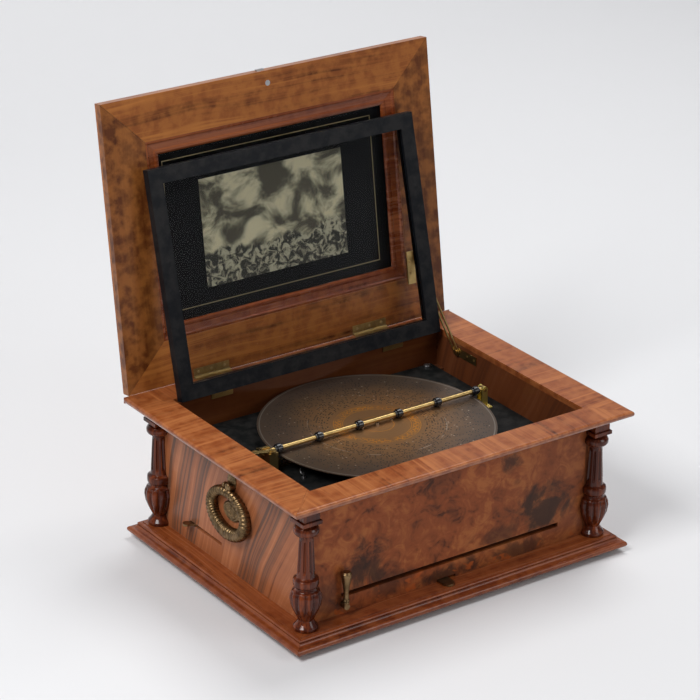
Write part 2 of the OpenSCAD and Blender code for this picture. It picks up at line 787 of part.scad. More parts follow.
module glass_pane() color([0.8, 0.9, 0.9, 0.3])
    on_frame() block([-frame_x + frame_bar - pane_groove, -frame_length + frame_bar - pane_groove,
        -pane_drop - 7], [frame_x - frame_bar + pane_groove, -frame_bar + pane_groove,
        -pane_drop - 7 + pane_thickness]);

module pane_frame_leaves() color(brass)
    on_frame() for (s = [-1, 1]) translate([s * pane_hinge_x, 0, 0])
        butt_leaf(pane_hinge_length, pane_leaf, -pane_drop, pane_knuckle, 0.9, 1);

module pane_wall_leaves() color(brass)
    translate([0, pane_hinge_y, pane_hinge_z]) for (s = [-1, 1])
        translate([s * pane_hinge_x, 0, 0]) rotate([90, 0, 0])
            butt_leaf(pane_hinge_length, pane_leaf, -pane_knuckle, pane_knuckle, 0.9, 0);

// ---- side handles and levers ----

// The fixed plate of a handle, drawn on the left panel.
module handle_plate()
    translate([-ox, handle_y, handle_z]) {
        block([-2, -9, -16], [0, 9, 20]);
        translate([-1.5, 0, 20]) rod_x(-0.5, 1.5, 9);
        for (y = [-9, 6]) {
            block([-handle_out, y, -3], [0, y + 3, 3]);
            translate([-handle_out, 0, 0]) rod_y(y, y + 3, 4);
        }
        translate([-handle_out, 0, 0]) rod_y(-8, 8, 2);
        translate([0, 0, 12]) intersection() {
            sphere(9);
            block([-10, -10, -10], [0, 10, 10]);
        }
        translate([0, 0, -ring_drop]) {
            rod_x(-4, 0, 12);
            block([-2, -5, 0], [0, 5, 26]);
        }
    }

module handle_plates() color(brass) {
    handle_plate();
    mirror([1, 0, 0]) handle_plate();
}

// An oval ring of four arcs with an eye at its top, drawn hanging on the left panel.
module handle_ring() {
    end_centre = 18;
    end_radius = 25;
    long_centre = 24;
    long_radius = 55;
    turn = atan2(long_centre, end_centre);
    translate([-ox - handle_out, handle_y, handle_z]) difference() {
        union() {
            rod_y(-5.6, 5.6, 4.6);
            block([-3, -5.6, -10], [3, 5.6, 0]);
            translate([0, 0, -ring_drop]) rotate([0, 90, 0]) rotate([0, 0, 90])
                for (s = [0, 180]) rotate([0, 0, s]) {
                    for (t = [-turn, turn]) translate([end_centre, 0, 0]) rotate([0, 0, t])
                        translate([end_radius, 0, 0]) sphere(ring_section + 0.5);
                    translate([end_centre, 0, 0]) rotate([0, 0, -turn])
                        rotate_extrude(angle = 2 * turn)
                            translate([end_radius, 0]) circle(ring_section);
                    translate([0, -long_centre, 0]) rotate([0, 0, turn])
                        rotate_extrude(angle = 180 - 2 * turn)
                            translate([long_radius, 0]) circle(ring_section);
                }
        }
        rod_y(-20, 20, 2 + fit);
    }
}

module left_ring() color(brass) handle_ring();

module right_ring() color(brass) mirror([1, 0, 0]) handle_ring();

module start_lever() color(brass)
    translate([start_x, 0, start_z]) {
        rod_y(yfo - 8, yf + 12, start_radius);
        rod_y(yfo - 12, yfo - 1, 4.5);
        translate([0, yfo - 9, 0]) rotate_extrude() polygon([[0, 3], [4.4, 3], [4.6, 6],
            [3.6, 8], [5, 9.5], [3.8, 11.5], [3.6, 20], [4.6, 30], [6, 38], [7.4, 46],
            [7.2, 50], [5.4, 52.4], [0, 53]]);
    }

// A flat thumb tab that slides along a notch at the front panel's foot.
module speed_tab() color(brass) {
    block([tab_x - tab_wide / 2, yfo - 14, wall_low + 0.3], [tab_x + tab_wide / 2, yf + 8, wall_low + 3]);
    translate([tab_x, yfo - 13.5, wall_low + 0.3]) cylinder(h = 3.4, r = tab_wide / 2 - 1);
    block([tab_x - tab_wide / 2 - 4, yf + 0.3, wall_low + 0.3],
        [tab_x + tab_wide / 2 + 4, yf + 8, wall_low + 6]);
}

// A flat blade through the left slot, turning on a post between the store's boards.
module side_lever() color(brass)
    translate([-lever_x, lever_y, 0]) {
        translate([0, 0, store_floor + fit]) cylinder(h = store_roof - store_floor - 2 * fit, r = 4);
        rotate([0, 0, -lever_angle]) translate([0, 0, side_slot_z + 1]) {
            block([-88, -5, 0], [0, 5, 3]);
            translate([-88, 0, 0]) cylinder(h = 3, r = 6);
            cylinder(h = 3, r = 8);
        }
    }

feet();
plinth();
base_board();
front_panel();
back_panel();
left_panel();
right_panel();
columns();
top_rim();
bearers();
storage_boards();
slot_felt();
bedplate();
movement_screws();
motor_frame();
governor_cocks();
comb_blocks();
combs();
star_gantry();
star_wheels();
crank_bush();
latch_post();
bar_post();
wire_hook();
case_hinge_leaves();
stay_pin();
pane_wall_leaves();
handle_plates();
turntable();
disc();
spring_barrel();
mainspring();
barrel_arbor();
train_arbor();
governor_worm();
governor_fan();
crank_shaft();
crank_grip();
pressure_rod();
rollers_left();
rollers_right();
rod_latch();
lid_rails();
lid_board();
lid_moulding();
lid_glass();
lid_mat();
lid_print();
lid_hinge_leaves();
lid_catch();
stay_bracket();
stay_arm();
glass_frame();
glass_pane();
pane_frame_leaves();
left_ring();
right_ring();
start_lever();
speed_tab();
side_lever();
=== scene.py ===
"""Finishes and fine pieces for a wind up disc music box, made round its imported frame."""
import json
import math
import bpy
import numpy as np
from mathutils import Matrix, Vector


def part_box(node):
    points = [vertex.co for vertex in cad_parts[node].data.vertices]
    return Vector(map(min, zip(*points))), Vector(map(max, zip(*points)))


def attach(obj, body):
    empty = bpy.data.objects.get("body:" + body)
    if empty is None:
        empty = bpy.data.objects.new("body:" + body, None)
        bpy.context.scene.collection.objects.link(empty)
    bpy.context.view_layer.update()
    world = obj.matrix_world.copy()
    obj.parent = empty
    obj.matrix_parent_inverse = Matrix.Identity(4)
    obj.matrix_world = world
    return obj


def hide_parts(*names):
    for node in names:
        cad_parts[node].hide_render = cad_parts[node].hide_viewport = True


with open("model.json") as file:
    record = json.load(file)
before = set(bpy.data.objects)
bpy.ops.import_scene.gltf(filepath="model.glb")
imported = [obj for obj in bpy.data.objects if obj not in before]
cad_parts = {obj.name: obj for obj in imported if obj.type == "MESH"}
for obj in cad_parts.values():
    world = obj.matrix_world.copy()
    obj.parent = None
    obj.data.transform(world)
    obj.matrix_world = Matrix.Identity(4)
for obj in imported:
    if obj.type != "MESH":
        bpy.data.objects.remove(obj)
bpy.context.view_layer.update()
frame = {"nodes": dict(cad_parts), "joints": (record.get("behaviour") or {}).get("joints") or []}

bl_info = {
    "name": "Wind Up Music Box",
    "version": (1, 0, 0),
    "blender": (4, 5, 0),
    "location": "View3D > Sidebar > Music Box",
    "description": "Finishes the case, lid, movement and handles of a disc music box",
    "category": "Object",
}

MM = 0.001
HINGE = next(np.array(j["pos_m"]) for j in frame["joints"] if j["name"] == "lid_hinge")
LID_LEAN = math.radians(8.5)
RIM_LOW, RIM_HIGH = (np.array(c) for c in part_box("top_rim"))
DISC_LOW, DISC_HIGH = (np.array(c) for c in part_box("disc"))
DISC_CENTRE = (DISC_LOW + DISC_HIGH) / 2


# ---- node helpers ----

def add(tree, kind, inputs=None, **props):
    """Adds a node, sets its properties, and fills or links its inputs by name or number."""
    node = tree.nodes.new(kind)
    for key, value in props.items():
        setattr(node, key, value)
    for key, value in (inputs or {}).items():
        socket = node.inputs[key]
        if isinstance(value, bpy.types.NodeSocket):
            tree.links.new(value, socket)
        else:
            socket.default_value = value
    return node


def maths(tree, operation, a, b=0.0, c=0.0, clamp=False):
    """One Math node's result."""
    return add(tree, "ShaderNodeMath", {0: a, 1: b, 2: c}, operation=operation,
               use_clamp=clamp).outputs[0]


def blend(tree, factor, a, b, mode="MIX"):
    """Mixes two colours by a factor."""
    node = add(tree, "ShaderNodeMix", data_type="RGBA", blend_type=mode)
    for key, value in ((0, factor), (6, a), (7, b)):
        if isinstance(value, bpy.types.NodeSocket):
            tree.links.new(value, node.inputs[key])
        else:
            node.inputs[key].default_value = value
    return node.outputs[2]


def ramp(tree, value, low, high, to_low=0.0, to_high=1.0, smooth=True):
    """Maps low..high to to_low..to_high, held at the ends."""
    return add(tree, "ShaderNodeMapRange", {"Value": value, "From Min": low, "From Max": high,
               "To Min": to_low, "To Max": to_high},
               interpolation_type="SMOOTHSTEP" if smooth else "LINEAR").outputs[0]


def stretched(tree, vector, scale, turn=(0, 0, 0), shift=(0, 0, 0)):
    """The vector moved, turned and stretched by a Mapping node."""
    return add(tree, "ShaderNodeMapping", {"Vector": vector, "Location": shift,
               "Rotation": turn, "Scale": scale}).outputs[0]


def noise(tree, vector, scale, detail=3.0, rough=0.55, distort=0.0):
    """The value of a noise texture."""
    return add(tree, "ShaderNodeTexNoise", {"Vector": vector, "Scale": scale, "Detail": detail,
               "Roughness": rough, "Distortion": distort}).outputs[0]


def split(tree, vector):
    """The x, y and z of a vector."""
    return add(tree, "ShaderNodeSeparateXYZ", {0: vector}).outputs


def joined(tree, x, y, z):
    """A vector from x, y and z."""
    return add(tree, "ShaderNodeCombineXYZ", {0: x, 1: y, 2: z}).outputs[0]


def group(name, inputs, outputs):
    """A shader node group with named sockets; gives its tree, its input sockets and its output node."""
    tree = bpy.data.node_groups.new(name, "ShaderNodeTree")
    for label, kind, value in inputs:
        socket = tree.interface.new_socket(label, in_out="INPUT", socket_type="NodeSocket" + kind)
        if value is not None:
            socket.default_value = value
    for label, kind in outputs:
        tree.interface.new_socket(label, in_out="OUTPUT", socket_type="NodeSocket" + kind)
    return tree, tree.nodes.new("NodeGroupInput").outputs, tree.nodes.new("NodeGroupOutput").inputs


def use(tree, name, inputs):
    """Places a shared group in a material."""
    node = tree.nodes.new("ShaderNodeGroup")
    node.node_tree = bpy.data.node_groups[name]
    for key, value in inputs.items():
        if isinstance(value, bpy.types.NodeSocket):
            tree.links.new(value, node.inputs[key])
        else:
            node.inputs[key].default_value = value
    return node.outputs


# ---- shared effects ----

def make_wood_group():
    """Wood figure with the grain along the vector's x: broad bands, streaks, fibres and pores, all
    noise stretched along x, and a ripple across it; gives colour, height and tone."""
    tree, given, out = group("Wood Figure", [
        ("Vector", "Vector", None), ("Dark", "Color", (0.05, 0.02, 0.01, 1)),
        ("Middle", "Color", (0.2, 0.08, 0.03, 1)), ("Light", "Color", (0.4, 0.18, 0.08, 1)),
        ("Band", "Float", 22.0), ("Curl", "Float", 0.3), ("Sway", "Float", 0.02)],
        [("Color", "Color"), ("Height", "Float"), ("Tone", "Float")])
    vector = given["Vector"]
    slow = noise(tree, stretched(tree, vector, (3.0, 6, 6)), 1.0, 2.0)
    x, y, z = split(tree, vector)
    swayed = maths(tree, "MULTIPLY_ADD", maths(tree, "SUBTRACT", slow, 0.5), given["Sway"], y)
    bent = joined(tree, x, swayed, z)
    band = noise(tree, joined(tree, maths(tree, "MULTIPLY", x, 1.6),
                 maths(tree, "MULTIPLY", swayed, given["Band"]),
                 maths(tree, "MULTIPLY", z, given["Band"])), 1.0, 3.0, 0.55)
    streak = noise(tree, stretched(tree, bent, (3.0, 150, 150)), 1.0, 2.0, 0.6)
    fibre = noise(tree, stretched(tree, bent, (9, 420, 420)), 1.0, 1.0, 0.5)
    pore = ramp(tree, noise(tree, stretched(tree, bent, (28, 560, 560)), 1.0, 0.0), 0.62, 0.78)
    ripple = noise(tree, stretched(tree, bent, (85, 7, 7)), 1.0, 1.0, 0.5, 0.3)
    tone = maths(tree, "MULTIPLY_ADD", maths(tree, "SUBTRACT", band, 0.5), 1.15, 0.5)
    tone = maths(tree, "MULTIPLY_ADD", maths(tree, "SUBTRACT", streak, 0.5), 0.95, tone)
    tone = maths(tree, "MULTIPLY_ADD", maths(tree, "SUBTRACT", ripple, 0.5), given["Curl"], tone)
    tone = maths(tree, "MULTIPLY_ADD", maths(tree, "SUBTRACT", fibre, 0.5), 0.3, tone)
    first = blend(tree, ramp(tree, tone, 0.12, 0.46), given["Dark"], given["Middle"])
    second = blend(tree, ramp(tree, tone, 0.46, 0.82), first, given["Light"])
    final = blend(tree, maths(tree, "MULTIPLY", pore, 0.1), second, given["Dark"])
    tree.links.new(final, out["Color"])
    tree.links.new(maths(tree, "MULTIPLY_ADD", pore, -0.6, fibre), out["Height"])
    tree.links.new(tone, out["Tone"])


def make_burl_group():
    """Burl figure: clouded noise, dark eyes from cell distances, and short curling fibres."""
    tree, given, out = group("Burl Figure", [
        ("Vector", "Vector", None), ("Dark", "Color", (0.05, 0.02, 0.01, 1)),
        ("Middle", "Color", (0.25, 0.1, 0.04, 1)), ("Light", "Color", (0.45, 0.2, 0.09, 1))],
        [("Color", "Color"), ("Height", "Float"), ("Cloud", "Float")])
    vector = given["Vector"]
    cloud = noise(tree, vector, 13.0, 4.0, 0.6, 1.2)
    fine = noise(tree, vector, 42.0, 3.0, 0.6, 1.6)
    cells = add(tree, "ShaderNodeTexVoronoi", {"Vector": vector, "Scale": 30.0,
                "Randomness": 1.0}).outputs[0]
    sparse = ramp(tree, noise(tree, vector, 13.0, 2.0), 0.5, 0.66)
    eye = maths(tree, "MULTIPLY", ramp(tree, cells, 0.3, 0.06), sparse)
    rings = maths(tree, "SINE", maths(tree, "MULTIPLY", cells, 34.0))
    tone = maths(tree, "MULTIPLY_ADD", fine, 0.55, maths(tree, "MULTIPLY", cloud, 0.75))
    tone = maths(tree, "MULTIPLY_ADD", maths(tree, "MULTIPLY", rings, sparse), 0.03, tone)
    first = blend(tree, ramp(tree, tone, 0.42, 0.62), given["Dark"], given["Middle"])
    second = blend(tree, ramp(tree, tone, 0.6, 0.82), first, given["Light"])
    final = blend(tree, maths(tree, "MULTIPLY", eye, 0.75), second, given["Dark"])
    tree.links.new(final, out["Color"])
    tree.links.new(fine, out["Height"])
    tree.links.new(cloud, out["Cloud"])


def make_mitre_group():
    """Tells the side lengths of a mitred frame from its ends: |x| - half width against |y| - half
    depth; gives a mask of the sides and a thin joint line."""
    tree, given, out = group("Mitre", [
        ("Vector", "Vector", None), ("Half Width", "Float", 0.28), ("Half Depth", "Float", 0.2),
        ("Line", "Float", 0.0004)], [("Sides", "Float"), ("Joint", "Float")])
    x, y, _ = split(tree, given["Vector"])
    a = maths(tree, "SUBTRACT", maths(tree, "ABSOLUTE", x), given["Half Width"])
    b = maths(tree, "SUBTRACT", maths(tree, "ABSOLUTE", y), given["Half Depth"])
    gap = maths(tree, "SUBTRACT", a, b)
    tree.links.new(maths(tree, "GREATER_THAN", gap, 0.0), out["Sides"])
    tree.links.new(maths(tree, "LESS_THAN", maths(tree, "ABSOLUTE", gap), given["Line"]), out["Joint"])


def make_patina_group():
    """Old metal: clouded tarnish, small spots, rubbed high places from pointiness, and scratches."""
    tree, given, out = group("Patina", [
        ("Vector", "Vector", None), ("Bright", "Color", (0.6, 0.45, 0.2, 1)),
        ("Tarnish", "Color", (0.12, 0.08, 0.03, 1)), ("Amount", "Float", 0.5)],
        [("Color", "Color"), ("Roughness", "Float"), ("Height", "Float")])
    vector = given["Vector"]
    cloud = noise(tree, vector, 90.0, 5.0, 0.6)
    spots = ramp(tree, noise(tree, vector, 420.0, 2.0), 0.6, 0.72)
    scratch = noise(tree, stretched(tree, vector, (300, 40, 2500)), 1.0, 2.0)
    worn = ramp(tree, add(tree, "ShaderNodeNewGeometry").outputs["Pointiness"], 0.48, 0.56)
    dirt = maths(tree, "MULTIPLY", ramp(tree, cloud, 0.35, 0.7), given["Amount"])
    dirt = maths(tree, "MAXIMUM", dirt, maths(tree, "MULTIPLY", spots, given["Amount"]))
    dirt = maths(tree, "MULTIPLY", dirt, maths(tree, "MULTIPLY_ADD", worn, -0.6, 1.0), clamp=True)
    tree.links.new(blend(tree, dirt, given["Bright"], given["Tarnish"]), out["Color"])
    rough = maths(tree, "MULTIPLY_ADD", dirt, 0.3, 0.24)
    tree.links.new(maths(tree, "MULTIPLY_ADD", scratch, 0.12, rough), out["Roughness"])
    tree.links.new(maths(tree, "ADD", cloud, maths(tree, "MULTIPLY", scratch, 0.4)), out["Height"])


def make_wear_group():
    """Rubbed edges: pointiness for the edges, broken up by noise."""
    tree, given, out = group("Edge Wear", [
        ("Vector", "Vector", None), ("Base", "Color", (0.2, 0.1, 0.05, 1)),
        ("Rubbed", "Color", (0.5, 0.3, 0.15, 1)), ("Amount", "Float", 0.5)],
        [("Color", "Color"), ("Mask", "Float")])
    edge = ramp(tree, add(tree, "ShaderNodeNewGeometry").outputs["Pointiness"], 0.505, 0.56)
    patchy = ramp(tree, noise(tree, given["Vector"], 60.0, 4.0), 0.35, 0.65)
    mask = maths(tree, "MULTIPLY", maths(tree, "MULTIPLY", edge, patchy), given["Amount"])
    tree.links.new(blend(tree, mask, given["Base"], given["Rubbed"]), out["Color"])
    tree.links.new(mask, out["Mask"])


# ---- finishes ----

def new_material(name):
    """An empty material with its tree, its Principled BSDF and its object coordinates."""
    material = bpy.data.materials.new(name)
    material.use_nodes = True
    tree = material.node_tree
    shader = tree.nodes["Principled BSDF"]
    place = tree.nodes.new("ShaderNodeTexCoord").outputs["Object"]
    return material, tree, shader, place


def bumped(tree, shader, height, strength, distance):
    """Sends a height through a Bump node to the shader's normal."""
    bump = add(tree, "ShaderNodeBump", {"Height": height, "Strength": strength,
               "Distance": distance})
    tree.links.new(bump.outputs[0], shader.inputs["Normal"])


def set_colour(tree, shader, value):
    """Links a colour socket or sets a colour."""
    if isinstance(value, bpy.types.NodeSocket):
        tree.links.new(value, shader.inputs["Base Color"])
    else:
        shader.inputs["Base Color"].default_value = value


WALNUT = {"Dark": (0.060, 0.014, 0.003, 1), "Middle": (0.245, 0.072, 0.016, 1),
          "Light": (0.43, 0.155, 0.034, 1)}
WALNUT_PALE = {"Dark": (0.075, 0.015, 0.004, 1), "Middle": (0.26, 0.064, 0.016, 1),
               "Light": (0.45, 0.155, 0.048, 1)}
RED = {"Dark": (0.05, 0.008, 0.002, 1), "Middle": (0.17, 0.034, 0.008, 1),
       "Light": (0.31, 0.085, 0.024, 1)}


def polish(tree, shader, tone, gloss=0.26, coat=0.1):
    """A french polished surface: roughness follows the figure, under a thin coat."""
    tree.links.new(maths(tree, "MULTIPLY_ADD", tone, 0.1, gloss), shader.inputs["Roughness"])
    shader.inputs["Coat Weight"].default_value = coat
    shader.inputs["Coat Roughness"].default_value = 0.12
    shader.inputs["Specular IOR Level"].default_value = 0.22


def lined(tree, place, colour, axis, at, sign, tint):
    """Darkens a panel's inner face: where the coordinate is past a place, the tint takes over."""
    along = split(tree, place)[axis]
    past = maths(tree, "GREATER_THAN" if sign > 0 else "LESS_THAN", along, at)
    return blend(tree, maths(tree, "MULTIPLY", past, 0.85), colour, tint)


def wood(name, colours, turn=(0, 0, 0), shift=(0, 0, 0), band=22.0, curl=0.12, sway=0.02,
         gloss=0.26, coat=0.1, inner=None):
    """Plain walnut or mahogany with the grain along one direction of the object."""
    material, tree, shader, place = new_material(name)
    vector = stretched(tree, place, (1, 1, 1), turn, shift)
    figure = use(tree, "Wood Figure", dict(colours, Vector=vector, Band=band, Curl=curl, Sway=sway))
    worn = use(tree, "Edge Wear", {"Vector": place, "Base": figure["Color"],
               "Rubbed": colours["Light"], "Amount": 0.35})
    colour = worn["Color"]
    if inner:
        colour = lined(tree, place, colour, *inner, (0.085, 0.022, 0.007, 1))
    set_colour(tree, shader, colour)
    polish(tree, shader, figure["Tone"], gloss, coat)
    bumped(tree, shader, figure["Height"], 0.2, 0.0001)
    return material


def mitred_wood(name, colours, half, lean=None, centre=(0, 0, 0), band=22.0, curl=0.3,
                cross=False, edge=None, painted_side_shade=0.0, gloss=0.26, coat=0.1):
    """Walnut on a mitred frame: the grain turns with each length, and a dark line marks the joints.
    half is the frame's half width and half depth, lean the angle of its plane to the table."""
    material, tree, shader, place = new_material(name)
    flat = stretched(tree, place, (1, 1, 1), (lean or 0, 0, 0), centre)
    mitre = use(tree, "Mitre", {"Vector": flat, "Half Width": half[0], "Half Depth": half[1]})
    turned = stretched(tree, flat, (1, 1, 1), (0, 0, math.pi / 2), (0.37, 0.11, 0))
    sides, ends = (flat, turned) if cross else (turned, flat)
    mix = add(tree, "ShaderNodeMix", data_type="VECTOR")
    tree.links.new(mitre["Sides"], mix.inputs[0])
    tree.links.new(ends, mix.inputs[4])
    tree.links.new(sides, mix.inputs[5])
    figure = use(tree, "Wood Figure", dict(colours, Vector=mix.outputs[1], Band=band, Curl=curl,
                 Sway=0.03))
    colour = blend(tree, maths(tree, "MULTIPLY", mitre["Joint"], 0.7), figure["Color"],
                   colours["Dark"])
    # Painted shade: painted_side_shade darkens the side lengths towards Dark, for the light falling across their
    # grain.
    colour = blend(tree, maths(tree, "MULTIPLY", mitre["Sides"], painted_side_shade), colour, colours["Dark"])
    if edge:
        low, high, tint = edge
        colour = blend(tree, ramp(tree, split(tree, place)[2], low, high), tint, colour)
    worn = use(tree, "Edge Wear", {"Vector": place, "Base": colour, "Rubbed": colours["Light"],
               "Amount": 0.5})
    set_colour(tree, shader, worn["Color"])
    polish(tree, shader, figure["Tone"], gloss, coat)
    if edge:
        nose = ramp(tree, split(tree, place)[2], high, low)
        tree.links.new(maths(tree, "MULTIPLY_ADD", nose, 0.9, 0.1), shader.inputs["Coat Weight"])
    bumped(tree, shader, figure["Height"], 0.2, 0.0001)
    return material


def striped_side(name, side):
    """A side panel: pinkish straight grain leaning towards the front, with groups of grey brown
    stripes; its inner face is plain and dark."""
    material, tree, shader, place = new_material(name)
    x, y, z = split(tree, place)
    lean = maths(tree, "MULTIPLY_ADD", y, -1.1, 0.42)
    across = maths(tree, "MULTIPLY_ADD", maths(tree, "SUBTRACT", z, 0.12), lean, y)
    drift = noise(tree, stretched(tree, place, (5, 5, 5)), 1.0, 2.0)
    across = maths(tree, "MULTIPLY_ADD", maths(tree, "SUBTRACT", drift, 0.5), 0.03, across)
    vector = joined(tree, z, across, 0.0)
    figure = use(tree, "Wood Figure", {"Vector": vector, "Dark": (0.15, 0.045, 0.018, 1),
                 "Middle": (0.345, 0.112, 0.042, 1), "Light": (0.48, 0.18, 0.078, 1), "Band": 20.0,
                 "Curl": 0.12, "Sway": 0.01})
    groups = 0.0
    for at, half in ((0.128, 0.020), (0.085, 0.017), (-0.072, 0.030), (-0.115, 0.010), (0.16, 0.008)):
        near = ramp(tree, maths(tree, "ABSOLUTE", maths(tree, "SUBTRACT", across, at)), half, half * 0.55)
        groups = maths(tree, "MAXIMUM", groups, near)
    lines = ramp(tree, noise(tree, stretched(tree, vector, (2.0, 210, 1)), 1.0, 2.0, 0.6), 0.42, 0.58)
    dark = maths(tree, "MULTIPLY", groups, maths(tree, "MULTIPLY_ADD", lines, 0.6, 0.22))
    colour = blend(tree, dark, figure["Color"], (0.075, 0.040, 0.028, 1))
    colour = lined(tree, place, colour, 0, side * 0.236, -side, (0.085, 0.022, 0.007, 1))
    set_colour(tree, shader, colour)
    polish(tree, shader, figure["Tone"])
    bumped(tree, shader, figure["Height"], 0.2, 0.0001)
    return material


def burl_front():
    """The front panel: burl veneer, darker to the right, with dark clouds at set places round the
    slot; its inner face is plain and dark."""
    material, tree, shader, place = new_material("burl_front")
    figure = use(tree, "Burl Figure", {"Vector": place, "Dark": (0.07, 0.02, 0.008, 1),
                 "Middle": (0.26, 0.064, 0.018, 1), "Light": (0.40, 0.125, 0.036, 1)})
    x, y, z = split(tree, place)
    warp = noise(tree, stretched(tree, place, (26, 26, 26)), 1.0, 5.0, 0.65, 0.6)
    dark = 0.0
    for cx, cz, rx, rz, depth in ((0.165, 0.085, 0.052, 0.036, 0.9), (0.085, 0.07, 0.05, 0.016, 0.6),
                                  (0.10, 0.176, 0.016, 0.011, 0.8), (-0.155, 0.084, 0.042, 0.034, 0.85),
                                  (-0.10, 0.05, 0.035, 0.02, 0.6), (0.0, 0.036, 0.05, 0.012, 0.8),
                                  (0.13, 0.036, 0.05, 0.014, 0.7), (-0.02, 0.185, 0.03, 0.02, 0.35),
                                  (-0.205, 0.06, 0.03, 0.04, 0.5)):
        u = maths(tree, "DIVIDE", maths(tree, "SUBTRACT", x, cx), rx)
        v = maths(tree, "DIVIDE", maths(tree, "SUBTRACT", z, cz), rz)
        far = maths(tree, "SQRT", maths(tree, "ADD", maths(tree, "MULTIPLY", u, u), maths(tree, "MULTIPLY", v, v)))
        far = maths(tree, "MULTIPLY_ADD", maths(tree, "SUBTRACT", warp, 0.5), 4.2, far)
        dark = maths(tree, "MAXIMUM", dark, maths(tree, "MULTIPLY", ramp(tree, far, 1.35, 0.35), depth))
    colour = blend(tree, dark, figure["Color"], (0.030, 0.015, 0.010, 1))
    spots = ramp(tree, noise(tree, stretched(tree, place, (42, 42, 60)), 1.0, 2.0), 0.60, 0.68)
    below = ramp(tree, z, 0.056, 0.048)
    colour = blend(tree, maths(tree, "MULTIPLY", maths(tree, "MULTIPLY", spots, below), 0.8), colour,
                   (0.42, 0.09, 0.018, 1))
    right = ramp(tree, x, 0.0, 0.24)
    colour = blend(tree, maths(tree, "MULTIPLY", right, 0.28), colour, (0.06, 0.03, 0.018, 1))
    colour = lined(tree, place, colour, 1, -0.1735, 1, (0.085, 0.022, 0.007, 1))
    set_colour(tree, shader, colour)
    polish(tree, shader, figure["Cloud"], 0.3, 0.03)
    shader.inputs["Specular IOR Level"].default_value = 0.14
    bumped(tree, shader, figure["Height"], 0.12, 0.0001)
    return material


def metal(name, bright, tarnish, amount=0.5, rough=None, metallic=1.0, bump=0.2):
    """A metal with patina."""
    material, tree, shader, place = new_material(name)
    look = use(tree, "Patina", {"Vector": place, "Bright": bright, "Tarnish": tarnish,
               "Amount": amount})
    set_colour(tree, shader, look["Color"])
    shader.inputs["Metallic"].default_value = metallic
    if rough is None:
        tree.links.new(look["Roughness"], shader.inputs["Roughness"])
    else:
        tree.links.new(maths(tree, "MULTIPLY_ADD", look["Roughness"], 0.4, rough),
                       shader.inputs["Roughness"])
    bumped(tree, shader, look["Height"], bump, 0.00015)
    return material


def black_paint(name, colour=(0.006, 0.007, 0.008, 1), rough=0.38, level=0.2):
    """Ebonised wood or black japan with faint grain, a little dust and rubbed edges."""
    material, tree, shader, place = new_material(name)
    fine = noise(tree, stretched(tree, place, (40, 40, 700)), 1.0, 3.0)
    dust = ramp(tree, noise(tree, place, 190.0, 5.0), 0.5, 0.75)
    worn = use(tree, "Edge Wear", {"Vector": place, "Base": colour,
               "Rubbed": (0.035, 0.032, 0.03, 1), "Amount": 0.35})
    set_colour(tree, shader, blend(tree, maths(tree, "MULTIPLY", dust, 0.02), worn["Color"],
               (0.25, 0.24, 0.22, 1)))
    tree.links.new(maths(tree, "MULTIPLY_ADD", dust, 0.15, rough), shader.inputs["Roughness"])
    shader.inputs["Specular IOR Level"].default_value = level
    bumped(tree, shader, fine, 0.1, 0.0001)
    return material


def clear_glass(name):
    """Plain window glass."""
    material, tree, shader, _ = new_material(name)
    shader.inputs["Base Color"].default_value = (0.97, 0.98, 0.98, 1)
    shader.inputs["Metallic"].default_value = 0.0
    shader.inputs["Transmission Weight"].default_value = 1.0
    shader.inputs["Roughness"].default_value = 0.01
    shader.inputs["IOR"].default_value = 1.12
    return material


def felt(name, colour):
    """Short napped felt."""
    material, tree, shader, place = new_material(name)
    nap = noise(tree, place, 900.0, 4.0, 0.7)
    patch = noise(tree, place, 40.0, 3.0)
    tone = maths(tree, "MULTIPLY_ADD", nap, 0.6, maths(tree, "MULTIPLY", patch, 0.4))
    dark = tuple(c * 0.45 for c in colour[:3]) + (1,)
    set_colour(tree, shader, blend(tree, ramp(tree, tone, 0.35, 0.65), dark, colour))
    shader.inputs["Roughness"].default_value = 0.95
    shader.inputs["Sheen Weight"].default_value = 0.4
    bumped(tree, shader, nap, 0.6, 0.0004)
    return material


